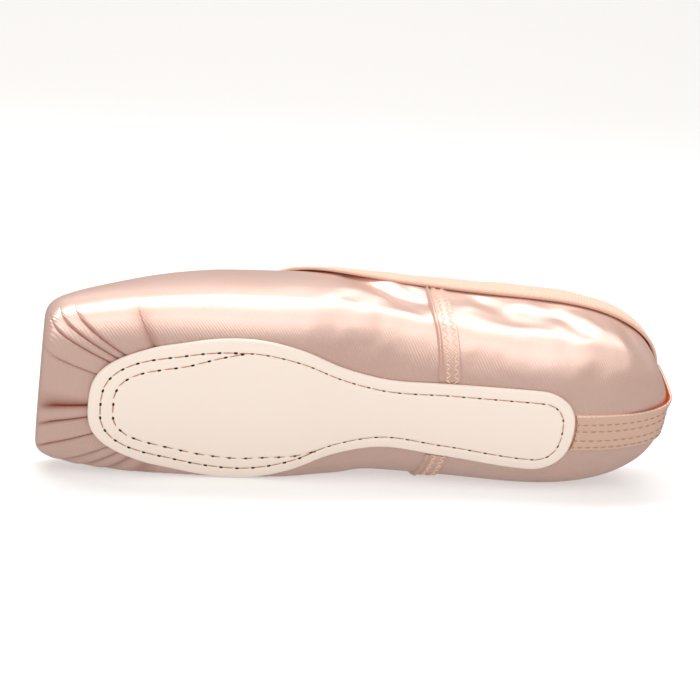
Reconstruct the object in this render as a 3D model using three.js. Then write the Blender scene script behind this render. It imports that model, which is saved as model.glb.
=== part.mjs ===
// Pointe shoe, lying on its side: a satin upper over a hard box, a short leather outsole,
// an insole, a ribbed tape round the collar, two raised side seams and a strip up the heel.
//
// The shoe is worked out in its own frame, in millimetres: x from the heel's back to the
// platform, y to the shoe's left side, z up from the sole. One function, skin, gives every
// surface of it. The last lines lay the shoe down on its right side.

import * as THREE from 'three';

// Driving dimensions
const LENGTH = 224;          // heel's back to the flat platform at the toe
const HEEL_AXIS = 48;        // centre that the round of the heel turns about
const TOE_AXIS = 180;        // centre that the round of the toe turns about
const NOSE = LENGTH + 10;    // where the round of the toe would end, had it no platform
const WALL = 2;              // satin, lining and paste together
const GAP = 0.3;             // clearance between neighbouring pieces
const SOLE_MARGIN = 3.8;     // how far the outsole laps over the upper's turned-in edge
const SOLE_THICK = 1.5;
const SOLE_EDGE_THICK = 1.1; // the outsole is pared down towards its edge
const INSOLE_THICK = 1.5;
const INSOLE_MARGIN = 8;     // how far the insole laps over it from inside
const TAPE_OUTSIDE = 8.5;    // height of the collar tape on the outside
const TAPE_INSIDE = 7;
const TAPE_THICK = 0.9;
const TAPE_HEADROOM = 1.3;   // from the upper's edge to the fold of the tape
const TAPE_CLEAR = 0.55;     // clearance of the tape over the round of the throat
const THROAT_TAPE = 0.5;     // how much narrower the tape's drop is at the throat
const SEAM_WIDTH = 8;
const SEAM_THICK = 0.7;
const SEAM_FOOT_X = 81;      // side seam at the outsole
const SEAM_HEAD_X = 85;      // side seam at the collar tape
const SEAM_CLEAR = 2;        // from the outsole's edge to the foot of a seam or strip
const SEAM_OFF_FLOOR = 0.1;  // the lower seam is pressed this clear of the floor, half as thick
const BAND_HEADROOM = 1;     // from the top of a seam or strip to the collar tape
const STRIP_WIDTH = 15;
const STRIP_THICK = 0.9;
const FOLD_HALF_TURN = 1.3;  // degrees, half the width of the step at a toe fold
const WIDE_FOLD = 15;        // degrees between folds that take a station halfway
const FOLD_FADE = 5;         // length over which a fold dies out at the platform

// How it lies: rolled until the outsole's edge and the side of the upper both meet the floor
const REST_ROLL = 21;        // degrees that the sole faces down
const REST_PITCH = 2.05;     // degrees that the toe end is up
const FLOOR_REACH = 22.42;   // distance from the shoe's own origin to the floor

// Sections of the last, from heel to nose. feather: half-width of the turned-in edge under the
// foot; half: half-width at the widest line; lift: height of the underside, with arch and toe
// spring; waist: height of the widest line above it; ridge: height of the closed top;
// square: 2 is an ellipse, more is boxier; collar: height of the top edge.
const COLUMNS = ['x', 'feather', 'half', 'lift', 'waist', 'ridge', 'square', 'collar'];
const SECTIONS = [
  [0,   10.0, 26.8, 1.4, 15.0, 88.0, 2.30, 43.8],
  [25,  11.5, 28.6, 1.2, 15.5, 86.0, 2.30, 44.3],
  [48,  12.4, 29.6, 1.0, 16.0, 84.5, 2.30, 45.0],
  [80,  11.0, 30.4, 4.0, 14.5, 78.0, 2.30, 45.5],
  [104, 10.3, 31.6, 5.5, 14.0, 71.5, 2.30, 46.0],
  [119, 14.2, 33.8, 4.5, 14.2, 64.5, 2.30, 46.5],
  [134, 20.9, 35.2, 2.5, 14.0, 60.0, 2.30, 51.5],
  [149, 24.3, 35.6, 1.5, 13.5, 57.8, 2.30, 61.5],
  [164, 24.0, 35.4, 1.3, 13.0, 55.0, 2.35, 64.0],
  [180, 21.0, 34.4, 0.8, 12.8, 48.5, 2.50, 64.0],
  [204, 16.5, 32.0, 0.0, 12.0, 35.5, 2.80, 64.0],
  [234, 12.0, 30.5, -1.0, 11.0, 20.5, 3.00, 64.0],
];

// The lower half of a section is this much rounder than its upper half
const LOWER_EASE = 0.3;

// How finely the pieces are divided
const HEEL_STEPS = 10;       // round half the heel
const QUARTER_STEPS = 9;     // along the side, up to the round of the throat
const THROAT_STEPS = 10;     // along the round of the throat
const VAMP_STEPS = 6;        // from the throat to the round of the toe
const UNDER_ROWS = 6;        // from the feather line up to the widest line
const OVER_ROWS = 8;         // from the widest line up to the collar or the ridge
const BAND_ROWS = 16;        // up a side seam or the back strip
const TAPE_STEPS = 17;       // along the tape, up to the round of the throat
const TAPE_ROUND_STEPS = 11; // along the tape round the throat
const BISECTIONS = 40;

// How square each outline is in plan, and where it ends
const FORM_ROUND = { heel: 2.7, toe: 3.6 };
const FEATHER_ROUND = { heel: 2.5, toe: 2.9 };
const FEATHER_ENDS = { heel: 38, toe: 203 };

// Folds of the satin round the toe. turn: degrees from straight ahead, left side positive;
// depth: how far the satin steps in at the fold.
const FOLDS = [
  { turn: 86, depth: 0.6 },
  { turn: 66, depth: 0.8 },
  { turn: 58, depth: 0.9 },
  { turn: 49, depth: 0.9 },
  { turn: 27, depth: 0.7 },
  { turn: -2, depth: 1.1 },
  { turn: -13, depth: 1.2 },
  { turn: -36, depth: 1.1 },
  { turn: -60, depth: 0.8 },
  { turn: -71, depth: 0.8 },
  { turn: -80, depth: 0.7 },
  { turn: -88, depth: 0.6 },
];

const SATIN = { color: 0xd9b3a0, roughness: 0.32, metalness: 0 };
const TAPE = { color: 0xf0c9b2, roughness: 0.75, metalness: 0 };
const LEATHER = { color: 0xdfc2ab, roughness: 0.7, metalness: 0 };
const BOARD = { color: 0xe6d6c6, roughness: 0.8, metalness: 0 };

const QUARTER = Math.PI / 2;
const mix = THREE.MathUtils.lerp;

/** One column of the sections as a smooth function of x. */
function smoothColumn(column) {
  const xs = SECTIONS.map((row) => row[0]);
  const ys = SECTIONS.map((row) => row[column]);
  const rise = xs.slice(1).map((x, i) => (ys[i + 1] - ys[i]) / (x - xs[i]));
  const slope = ys.map((_, i) => {
    if (i === 0) return rise[0];
    if (i === ys.length - 1) return rise[i - 1];
    const before = xs[i] - xs[i - 1];
    const after = xs[i + 1] - xs[i];
    return (rise[i - 1] * after + rise[i] * before) / (before + after);
  });
  return (x) => {
    const held = THREE.MathUtils.clamp(x, xs[0], xs[xs.length - 1]);
    const i = Math.max(0, xs.findLastIndex((start, k) => start <= held && k < xs.length - 1));
    const span = xs[i + 1] - xs[i];
    const t = (held - xs[i]) / span;
    const blend = t * t * (3 - 2 * t);
    const leave = t * (1 - t) * (1 - t) * span * slope[i];
    const arrive = t * t * (1 - t) * span * slope[i + 1];
    return mix(ys[i], ys[i + 1], blend) + leave - arrive;
  };
}

const section = Object.fromEntries(COLUMNS.map((name, i) => [name, smoothColumn(i)]));

/**
 * Where a station is. Stations are numbered 0 to 1 round the heel from its back, 1 to 2 along
 * the side and 2 to 3 round the toe to its front. turn is 0 straight ahead or back.
 */
function station(p) {
  if (p < 1) return { axis: HEEL_AXIS, turn: p * QUARTER, end: 'heel', way: -1 };
  if (p > 2) return { axis: TOE_AXIS, turn: (3 - p) * QUARTER, end: 'toe', way: 1 };
  return { axis: mix(HEEL_AXIS, TOE_AXIS, p - 1), turn: QUARTER, end: 'toe', way: 0 };
}

/** The station number of a square section at x along the side. */
function sideStation(x) {
  return 1 + (x - HEEL_AXIS) / (TOE_AXIS - HEEL_AXIS);
}

/** A point in plan on one outline of the last: straight along the sides, rounded at the ends. */
function outline(p, half, ends, round) {
  const { axis, turn, end, way } = station(p);
  const power = 2 / round[end];
  const reach = Math.abs(ends[end] - axis) * Math.cos(turn) ** power;
  const x = way === 0 ? axis : axis + way * reach;
  const y = way === 0 ? half(x) : half(x) * Math.sin(turn) ** power;
  return { x, y };
}

/**
 * The form of the shoe. v runs from -1 at the middle of the underside to 0 at the feather
 * line, 1 at the widest line and 2 at the ridge. grow is how far the form is let out.
 */
function skin(p, v, side, grow) {
  const { axis } = station(p);
  const feather = outline(p, section.feather, FEATHER_ENDS, FEATHER_ROUND);
  const ends = { heel: -grow, toe: NOSE + grow };
  const widest = outline(p, (x) => section.half(x) + grow, ends, FORM_ROUND);
  const square = section.square(widest.x);
  const power = 2 / (v > 1 ? square : square - LOWER_EASE);
  let x = mix(axis, feather.x, 1 + v);
  let y = mix(0, feather.y, 1 + v);
  let climb = 0;
  if (v > 0 && v <= 1) {
    const out = Math.sin(v * QUARTER) ** power;
    x = mix(feather.x, widest.x, out);
    y = mix(feather.y, widest.y, out);
    climb = 1 - Math.cos(v * QUARTER) ** power;
  } else if (v > 1) {
    const out = Math.max(0, Math.cos((v - 1) * QUARTER)) ** power;
    x = mix(axis, widest.x, out);
    y = widest.y * out;
    climb = Math.sin((v - 1) * QUARTER) ** power;
  }
  const middle = section.lift(x) + section.waist(x);
  const bottom = section.lift(x) - grow;
  const top = section.ridge(x) + grow;
  const z = v > 1 ? mix(middle, top, climb) : mix(bottom, middle, climb);
  return new THREE.Vector3(Math.min(x, LENGTH - WALL + grow), side * y, z);
}

/** The v at which the form is a given drop below its collar line, or 2 where it is closed. */
function collarV(p, drop) {
  const { x } = outline(p, section.half, { heel: 0, toe: NOSE }, FORM_ROUND);
  const middle = section.lift(x) + section.waist(x);
  const share = (section.collar(x) - drop - middle) / (section.ridge(x) - middle);
  return 1 + Math.asin(Math.min(1, share) ** (section.square(x) / 2)) / QUARTER;
}

/** The station at which a line that lies drop below the collar line reaches the ridge. */
function throatStation(drop) {
  let open = sideStation(SEAM_HEAD_X);
  let closed = 2;
  for (let i = 0; i < BISECTIONS; i += 1) {
    const p = (open + closed) / 2;
    if (collarV(p, drop) < 2) open = p;
    else closed = p;
  }
  return closed;
}

/** The v of a line that lies a given margin outside the feather line. */
function marginV(p, margin) {
  const feather = outline(p, section.feather, FEATHER_ENDS, FEATHER_ROUND);
  const widest = outline(p, section.half, { heel: 0, toe: NOSE }, FORM_ROUND);
  const span = Math.hypot(widest.x - feather.x, widest.y - feather.y);
  const square = section.square(widest.x) - LOWER_EASE;
  return Math.asin((margin / span) ** (square / 2)) / QUARTER;
}

/** How deep the folds round the toe cut into the satin: sharp on one side, easing on the other. */
function foldDepth(p, v, side) {
  if (p <= 2 || v >= 1) return 0;
  const turn = side * THREE.MathUtils.radToDeg(station(p).turn);
  const after = FOLDS.findIndex((fold) => fold.turn <= turn);
  if (after < 1) return 0;
  const fold = FOLDS[after - 1];
  const next = FOLDS[after];
  const ease = (turn - next.turn) / (fold.turn - next.turn);
  const room = (LENGTH - skin(p, v, side, WALL).x) / FOLD_FADE;
  return fold.depth * ease * (1 - v * v) * THREE.MathUtils.clamp(room, 0, 1);
}

/** The roll and pitch that the shoe lies at, and the floor as it is met in the shoe's own frame. */
const standing = new THREE.Quaternion().setFromRotationMatrix(new THREE.Matrix4().makeBasis(
  new THREE.Vector3(-1, 0, 0),
  new THREE.Vector3(0, 0, 1),
  new THREE.Vector3(0, 1, 0),
));
const lying = new THREE.Quaternion().setFromEuler(new THREE.Euler(
  THREE.MathUtils.degToRad(REST_ROLL),
  THREE.MathUtils.degToRad(REST_PITCH),
  0,
));
const rest = lying.clone().multiply(standing);
const floorward = new THREE.Vector3(0, 0, -1).applyQuaternion(rest.clone().invert());

/** Flattens a point that would lie closer to the floor than clear. */
function rested(point, clear) {
  const past = point.dot(floorward) - (FLOOR_REACH - clear);
  return past > 0 ? point.addScaledVector(floorward, -past) : point;
}

/** A run of values from one to another, both included. */
function run(from, to, steps) {
  return Array.from({ length: steps + 1 }, (_, i) => mix(from, to, i / steps));
}

/** Shares of a run that closes on the throat, spaced evenly across the rounded opening. */
function throatSteps(steps) {
  return run(1, 0, steps).map((share) => share ** section.square(TOE_AXIS));
}

const HEEL_STATIONS = run(0, 1, HEEL_STEPS);
const THROAT = throatStation(0);
const THROAT_RUN = 0.2;
const SIDE_STATIONS = [
  ...run(1, THROAT - THROAT_RUN, QUARTER_STEPS).slice(1),
  ...throatSteps(THROAT_STEPS).slice(1).map((step) => THROAT - THROAT_RUN * step),
  ...run(THROAT, 2, VAMP_STEPS).slice(1),
];

/** Stations round the toe on one side: two at each fold, and one between folds far apart. */
function toeStations(side) {
  const turns = [0];
  FOLDS.forEach(({ turn }, i) => {
    const next = i + 1 < FOLDS.length ? FOLDS[i + 1].turn : turn;
    turns.push(turn - FOLD_HALF_TURN, turn + FOLD_HALF_TURN);
    if (turn - next > WIDE_FOLD) turns.push((turn + next) / 2);
  });
  return turns
    .filter((turn) => turn * side > 0 && Math.abs(turn) < 90)
    .map((turn) => 3 - Math.abs(turn) / 90)
    .sort((a, b) => a - b);
}

/** Every station once round the shoe: up the left side to the toe and back down the right. */
function roundTheShoe() {
  const shared = [...HEEL_STATIONS, ...SIDE_STATIONS];
  const left = [...shared, ...toeStations(1), 3].map((p) => ({ p, side: 1 }));
  const right = [...shared.slice(1), ...toeStations(-1)].map((p) => ({ p, side: -1 }));
  return [...left, ...right.reverse()];
}

/** A geometry from points and triangles, turned so that its faces point out. */
function geometryFrom(points, triangles) {
  const volume = triangles.reduce((sum, [a, b, c]) => (
    sum + points[a].dot(new THREE.Vector3().crossVectors(points[b], points[c]))
  ), 0);
  const facing = volume > 0 ? triangles : triangles.map(([a, b, c]) => [a, c, b]);
  const geometry = new THREE.BufferGeometry().setFromPoints(points);
  geometry.setIndex(facing.flat());
  geometry.computeVertexNormals();
  return geometry;
}

/** The solid between two skins over one grid of places, with a rim wherever the grid ends. */
function solidBetween(grid, closed, outerAt, innerAt) {
  const WELD = 0.002;
  const outer = [];
  const inner = [];
  const known = new Map();
  const ids = grid.map((line) => line.map((place) => {
    const point = outerAt(place);
    const key = point.toArray().map((value) => Math.round(value / WELD) + 0).join();
    if (!known.has(key)) {
      known.set(key, outer.length);
      outer.push(point);
      inner.push(innerAt(place));
    }
    return known.get(key);
  }));

  const faces = [];
  const lines = closed ? ids.length : ids.length - 1;
  for (let i = 0; i < lines; i += 1) {
    const here = ids[i];
    const next = ids[(i + 1) % ids.length];
    for (let j = 0; j + 1 < here.length; j += 1) {
      const quad = [[here[j], next[j], next[j + 1]], [here[j], next[j + 1], here[j + 1]]];
      faces.push(...quad.filter((face) => new Set(face).size === 3));
    }
  }

  const edges = new Set(faces.flatMap(([a, b, c]) => [`${a} ${b}`, `${b} ${c}`, `${c} ${a}`]));
  const shift = outer.length;
  const rim = [];
  edges.forEach((edge) => {
    const [a, b] = edge.split(' ').map(Number);
    if (edges.has(`${b} ${a}`)) return;
    rim.push([b, a, a + shift], [b, a + shift, b + shift]);
  });
  const back = faces.map(([a, b, c]) => [a + shift, c + shift, b + shift]);
  return geometryFrom([...outer, ...inner], [...faces, ...back, ...rim]);
}

/** A closed ring lofted through sections that have the same number of points. */
function ringThrough(sections) {
  const size = sections[0].length;
  const triangles = [];
  sections.forEach((_, i) => {
    const next = (i + 1) % sections.length;
    for (let j = 0; j < size; j += 1) {
      const up = (j + 1) % size;
      triangles.push([i * size + j, next * size + j, next * size + up]);
      triangles.push([i * size + j, next * size + up, i * size + up]);
    }
  });
  return geometryFrom(sections.flat(), triangles);
}

/** The v at which the form leaves the platform, between a start and the nearest to the widest line. */
function platformEdgeV(p, start, nearest) {
  let off = start;
  let on = nearest;
  if (skin(p, nearest, 1, WALL).x < LENGTH) return nearest;
  for (let i = 0; i < BISECTIONS; i += 1) {
    const v = (off + on) / 2;
    if (skin(p, v, 1, WALL).x < LENGTH) off = v;
    else on = v;
  }
  return off;
}

/** The satin upper: one wall, open at the collar and inside the feather line underneath. */
function upper() {
  const LOW_V = 0.78;
  const HIGH_V = 1.12;
  const grid = roundTheShoe().map(({ p, side }) => {
    const lowerEdge = platformEdgeV(p, 0, LOW_V);
    const upperEdge = platformEdgeV(p, 2, HIGH_V);
    const rows = [
      ...run(0, lowerEdge, UNDER_ROWS),
      ...run(lowerEdge, 1, 2).slice(1),
      upperEdge,
      ...run(upperEdge, collarV(p, 0), OVER_ROWS).slice(1),
    ];
    return rows.map((v) => ({ p, v, side }));
  });
  const outerAt = ({ p, v, side }) => rested(skin(p, v, side, WALL - foldDepth(p, v, side)), 0);
  const innerAt = ({ p, v, side }) => rested(skin(p, v, side, 0), WALL);
  return solidBetween(grid, true, outerAt, innerAt);
}

/** A slab that follows the underside of the form, from its middle out to an edge. */
function slab(margin, rows, lowerGrow, upperGrow, clear) {
  const grid = roundTheShoe().map(({ p, side }) => (
    rows.map((t) => ({ p, side, t, v: t <= 0 ? t : t * marginV(p, margin) }))
  ));
  const lowerAt = ({ p, v, side, t }) => rested(skin(p, v, side, lowerGrow(t)), clear.lower);
  const upperAt = ({ p, v, side }) => rested(skin(p, v, side, upperGrow), clear.upper);
  return solidBetween(grid, true, lowerAt, upperAt);
}

/** The leather outsole, lapped over the upper's turned-in edge and pared at its own edge. */
function outsole() {
  const ROWS = [-1, 0, 0.6, 1];
  const bed = WALL + GAP;
  const lowerGrow = (t) => bed + mix(SOLE_THICK, SOLE_EDGE_THICK, Math.max(0, t) ** 2);
  return slab(SOLE_MARGIN, ROWS, lowerGrow, bed, { lower: 0, upper: 0 });
}

/** The insole, laid on the upper's turned-in edge from inside. */
function insole() {
  const ROWS = [-1, 0, 1];
  const wall = WALL + GAP;
  const clear = { lower: wall, upper: wall + INSOLE_THICK / 2 };
  return slab(INSOLE_MARGIN, ROWS, () => -GAP, -GAP - INSOLE_THICK, clear);
}

/** The folded tape round the collar, as a ring from the heel up to the throat on both sides. */
function collarTape() {
  const CLOSING = 0.14;
  const THROAT_START = 0.6;
  const steps = [
    ...run(0, 1 - CLOSING, TAPE_STEPS),
    ...throatSteps(TAPE_ROUND_STEPS).slice(1).map((step) => 1 - CLOSING * step),
  ];
  const outside = WALL + TAPE_CLEAR;
  const inside = -GAP;
  const fold = -TAPE_HEADROOM;
  const PROFILE = [
    { drop: TAPE_OUTSIDE, grow: outside },
    { drop: TAPE_OUTSIDE, grow: outside + TAPE_THICK },
    { drop: TAPE_OUTSIDE / 2, grow: outside + TAPE_THICK },
    { drop: 0, grow: outside + TAPE_THICK },
    { drop: fold - TAPE_THICK, grow: outside },
    { drop: fold - TAPE_THICK, grow: inside },
    { drop: 0, grow: inside - TAPE_THICK },
    { drop: TAPE_INSIDE / 2, grow: inside - TAPE_THICK },
    { drop: TAPE_INSIDE, grow: inside - TAPE_THICK },
    { drop: TAPE_INSIDE, grow: inside },
    { drop: TAPE_INSIDE / 2, grow: inside },
    { drop: fold, grow: inside },
    { drop: fold, grow: outside },
    { drop: TAPE_OUTSIDE / 2, grow: outside },
  ];
  const sectionAt = (s, side) => PROFILE.map(({ drop, grow }) => {
    const narrow = drop > 0 ? THROAT_TAPE : 0;
    const narrowed = drop * (1 - narrow * THREE.MathUtils.smoothstep(s, THROAT_START, 1));
    const p = s * throatStation(drop * (1 - narrow));
    return skin(p, s === 1 ? 2 : collarV(p, narrowed), side, grow);
  });
  const left = steps.map((s) => sectionAt(s, 1));
  const right = steps.slice(1, -1).map((s) => sectionAt(s, -1)).reverse();
  return ringThrough([...left, ...right]);
}

/** One raised side seam, from the outsole up to the collar tape. */
function sideSeam(side) {
  const foot = sideStation(SEAM_FOOT_X);
  const head = sideStation(SEAM_HEAD_X);
  const half = SEAM_WIDTH / 2 / (TOE_AXIS - HEEL_AXIS);
  const start = marginV(foot, SOLE_MARGIN + SEAM_CLEAR);
  const end = collarV(head, TAPE_OUTSIDE + BAND_HEADROOM);
  const grid = [-1, 0, 1].map((across) => run(0, 1, BAND_ROWS).map((t) => (
    { p: mix(foot, head, t) + across * half, v: mix(start, end, t), side }
  )));
  const low = WALL + GAP;
  const outerAt = ({ p, v }) => rested(skin(p, v, side, low + SEAM_THICK), SEAM_OFF_FLOOR);
  const innerAt = ({ p, v }) => rested(skin(p, v, side, low), SEAM_OFF_FLOOR + SEAM_THICK / 2);
  return solidBetween(grid, false, outerAt, innerAt);
}

/** The station at which the form is a given distance from the middle line, round the heel. */
function heelStation(v, distance, grow) {
  let near = 0;
  let far = 1;
  for (let i = 0; i < BISECTIONS; i += 1) {
    const p = (near + far) / 2;
    if (skin(p, v, 1, grow).y < distance) near = p;
    else far = p;
  }
  return far;
}

/** The strip over the heel seam, from the outsole's end up to the collar tape. */
function backStrip() {
  const low = WALL + GAP;
  const start = marginV(0, SOLE_MARGIN + SEAM_CLEAR);
  const end = collarV(0, TAPE_OUTSIDE + BAND_HEADROOM);
  const grid = run(-1, 1, 4).map((across) => run(start, end, BAND_ROWS).map((v) => {
    const side = across < 0 ? -1 : 1;
    const distance = Math.abs(across) * STRIP_WIDTH / 2;
    return { p: distance === 0 ? 0 : heelStation(v, distance, low), v, side };
  }));
  const outerAt = ({ p, v, side }) => skin(p, v, side, low + STRIP_THICK);
  const innerAt = ({ p, v, side }) => skin(p, v, side, low);
  return solidBetween(grid, false, outerAt, innerAt);
}

/** A named piece in its own finish. */
function piece(name, geometry, finish) {
  const mesh = new THREE.Mesh(geometry, new THREE.MeshStandardMaterial(finish));
  mesh.name = name;
  return mesh;
}

const shoe = new THREE.Group();
shoe.add(
  piece('upper', upper(), SATIN),
  piece('outsole', outsole(), LEATHER),
  piece('insole', insole(), BOARD),
  piece('topline_binding', collarTape(), TAPE),
  piece('side_seam_left', sideSeam(1), SATIN),
  piece('side_seam_right', sideSeam(-1), SATIN),
  piece('back_strip', backStrip(), SATIN),
);
shoe.quaternion.copy(rest);
shoe.position.z = FLOOR_REACH;

// The origin lies on the floor, under the middle of the shoe
const pointeShoe = new THREE.Group();
pointeShoe.add(shoe);
const middle = new THREE.Box3().setFromObject(pointeShoe, true).getCenter(new THREE.Vector3());
shoe.position.x -= middle.x;
shoe.position.y -= middle.y;

export default pointeShoe;
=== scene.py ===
"""Pointe shoe lying on its side, dressed in satin, leather, ribbed tape and stitching.

The shoe's own frame is in millimetres: x from the heel's back to the platform, y to its left side
and z up from the sole. ShoeForm gives every surface there, and Resting lays it on the floor in the
row's frame, in metres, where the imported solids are.
"""

import logging
import math
from dataclasses import dataclass
from enum import Enum
from typing import Any, Optional, Sequence, Union

import bpy
import numpy as np
from mathutils import Matrix, Vector


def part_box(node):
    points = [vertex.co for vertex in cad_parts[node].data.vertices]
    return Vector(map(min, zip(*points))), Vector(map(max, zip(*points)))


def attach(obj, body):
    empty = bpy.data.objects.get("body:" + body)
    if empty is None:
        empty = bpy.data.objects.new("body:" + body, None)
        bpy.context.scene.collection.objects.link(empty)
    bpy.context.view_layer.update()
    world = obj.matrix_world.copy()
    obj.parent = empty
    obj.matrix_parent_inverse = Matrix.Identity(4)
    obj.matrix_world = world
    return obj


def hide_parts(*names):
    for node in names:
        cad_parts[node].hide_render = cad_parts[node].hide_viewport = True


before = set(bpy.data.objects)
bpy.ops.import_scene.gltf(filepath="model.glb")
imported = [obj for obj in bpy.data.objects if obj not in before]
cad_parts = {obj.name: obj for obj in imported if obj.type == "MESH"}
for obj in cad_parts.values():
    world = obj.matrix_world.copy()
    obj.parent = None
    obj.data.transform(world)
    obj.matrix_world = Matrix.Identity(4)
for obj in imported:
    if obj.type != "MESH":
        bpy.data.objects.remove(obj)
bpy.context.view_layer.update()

log = logging.getLogger("pointe_shoe")

Array = np.ndarray
Colour = tuple[float, float, float, float]

MM = 0.001
QUARTER = math.pi / 2
BODY = "root"
UV_PER_MM = 0.01
SCREEN_GAMMA = 2.2
WELD = 2e-6
TINY = 1e-6
RIGHT_ANGLE = 90.0

# Scale at which the wave texture has one band in one unit
ONE_BAND = 2 * math.pi / 20

# Outputs of the texture coordinate and attribute nodes
UV_OUTPUT = 2
OBJECT_OUTPUT = 3
FACTOR_OUTPUT = 2

# Sections of the last, from heel to nose. feather: half-width of the turned-in edge under the
# foot; half: half-width at the widest line; lift: height of the underside; waist: height of the
# widest line above it; ridge: height of the closed top; square: 2 is an ellipse, more is boxier;
# collar: height of the top edge.
COLUMNS = ("x", "feather", "half", "lift", "waist", "ridge", "square", "collar")
SECTIONS = np.array((
    (0, 10.0, 26.8, 1.4, 15.0, 88.0, 2.30, 43.8),
    (25, 11.5, 28.6, 1.2, 15.5, 86.0, 2.30, 44.3),
    (48, 12.4, 29.6, 1.0, 16.0, 84.5, 2.30, 45.0),
    (80, 11.0, 30.4, 4.0, 14.5, 78.0, 2.30, 45.5),
    (104, 10.3, 31.6, 5.5, 14.0, 71.5, 2.30, 46.0),
    (119, 14.2, 33.8, 4.5, 14.2, 64.5, 2.30, 46.5),
    (134, 20.9, 35.2, 2.5, 14.0, 60.0, 2.30, 51.5),
    (149, 24.3, 35.6, 1.5, 13.5, 57.8, 2.30, 61.5),
    (164, 24.0, 35.4, 1.3, 13.0, 55.0, 2.35, 64.0),
    (180, 21.0, 34.4, 0.8, 12.8, 48.5, 2.50, 64.0),
    (204, 16.5, 32.0, 0.0, 12.0, 35.5, 2.80, 64.0),
    (234, 12.0, 30.5, -1.0, 11.0, 20.5, 3.00, 64.0),
))


class Side(Enum):
    """The two sides of the shoe, by the sign of y."""

    LEFT = 1
    RIGHT = -1


@dataclass(frozen=True)
class Fold:
    """A fold of the satin round the toe: its turn from straight ahead, its step and the strength of the
    painted shade along it.
    """

    turn: float
    depth: float
    shade: float


@dataclass(frozen=True)
class Crease:
    """A soft trough in one side of the satin, from one point to another in x and z."""

    side: Side
    x0: float
    z0: float
    x1: float
    z1: float
    width: float
    depth: float


FOLDS = (
    Fold(86, 0.6, 0.35),
    Fold(66, 0.8, 0.40),
    Fold(58, 0.9, 0.40),
    Fold(49, 0.9, 0.45),
    Fold(27, 0.7, 0.35),
    Fold(-2, 1.1, 1.00),
    Fold(-13, 1.2, 1.00),
    Fold(-36, 1.1, 1.00),
    Fold(-60, 0.8, 0.40),
    Fold(-71, 0.8, 0.40),
    Fold(-80, 0.7, 0.40),
    Fold(-88, 0.6, 0.35),
)

# A negative depth is a soft ridge
CREASES = (
    Crease(Side.LEFT, 116, 42, 90, 26, 3.4, 1.5),
    Crease(Side.LEFT, 110, 45, 88, 35, 2.6, -0.9),
    Crease(Side.LEFT, 104, 31, 92, 20, 2.6, 0.8),
    Crease(Side.LEFT, 98, 40, 90, 33, 2.0, 0.8),
    Crease(Side.LEFT, 128, 44, 112, 34, 4.0, 0.7),
    Crease(Side.LEFT, 72, 33, 60, 27, 4.0, 0.8),
    Crease(Side.LEFT, 66, 20, 50, 24, 5.0, 0.7),
    Crease(Side.LEFT, 44, 31, 36, 23, 4.0, 0.9),
    Crease(Side.LEFT, 40, 17, 26, 19, 4.5, 0.7),
    Crease(Side.LEFT, 52, 34, 46, 28, 3.0, -0.6),
    Crease(Side.LEFT, 33, 29, 24, 21, 3.5, -0.7),
    Crease(Side.LEFT, 14, 33, 9, 12, 3.2, 0.9),
    Crease(Side.LEFT, 22, 31, 17, 14, 3.2, -0.5),
    Crease(Side.RIGHT, 112, 42, 92, 28, 3.4, 1.2),
    Crease(Side.RIGHT, 100, 38, 90, 30, 2.4, -0.7),
    Crease(Side.RIGHT, 108, 12, 92, 20, 3.0, 0.8),
    Crease(Side.RIGHT, 70, 32, 58, 26, 4.0, 0.8),
    Crease(Side.RIGHT, 60, 35, 44, 33, 4.0, 0.7),
    Crease(Side.RIGHT, 34, 31, 26, 24, 4.0, 0.8),
    Crease(Side.RIGHT, 14, 33, 10, 14, 3.2, 0.8),
)


def srgb(red: int, green: int, blue: int) -> Colour:
    """A colour given in 0 to 255, as linear light.

    Args:
        red, green, blue: the colour as a screen shows it.

    Returns:
        The linear colour with full alpha.
    """
    share = (np.array((red, green, blue)) / 255) ** SCREEN_GAMMA
    return (*(float(part) for part in share), 1.0)


def smoothstep(x: Array, low: float, high: float) -> Array:
    """A soft step from 0 at low to 1 at high.

    Args:
        x: where it is read.
        low, high: the ends of the step.

    Returns:
        The step's value at each x.
    """
    t = np.clip((x - low) / (high - low), 0, 1)
    return t * t * (3 - 2 * t)


def mix(a: Any, b: Any, t: Any) -> Any:
    """The value that lies a share t of the way from a to b."""
    return a + (b - a) * t


def bell(x: Array, spread: float) -> Array:
    """A bell curve, 1 at 0 and nearly gone at twice its spread."""
    return np.exp(-((x / spread) ** 2))


def rounded_edge(inset: Array, run: float) -> Array:
    """A quarter-round edge: 0 at the rim, and 1 from run inwards."""
    return np.sqrt(1 - (1 - np.clip(inset / run, 0, 1)) ** 2)


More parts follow.
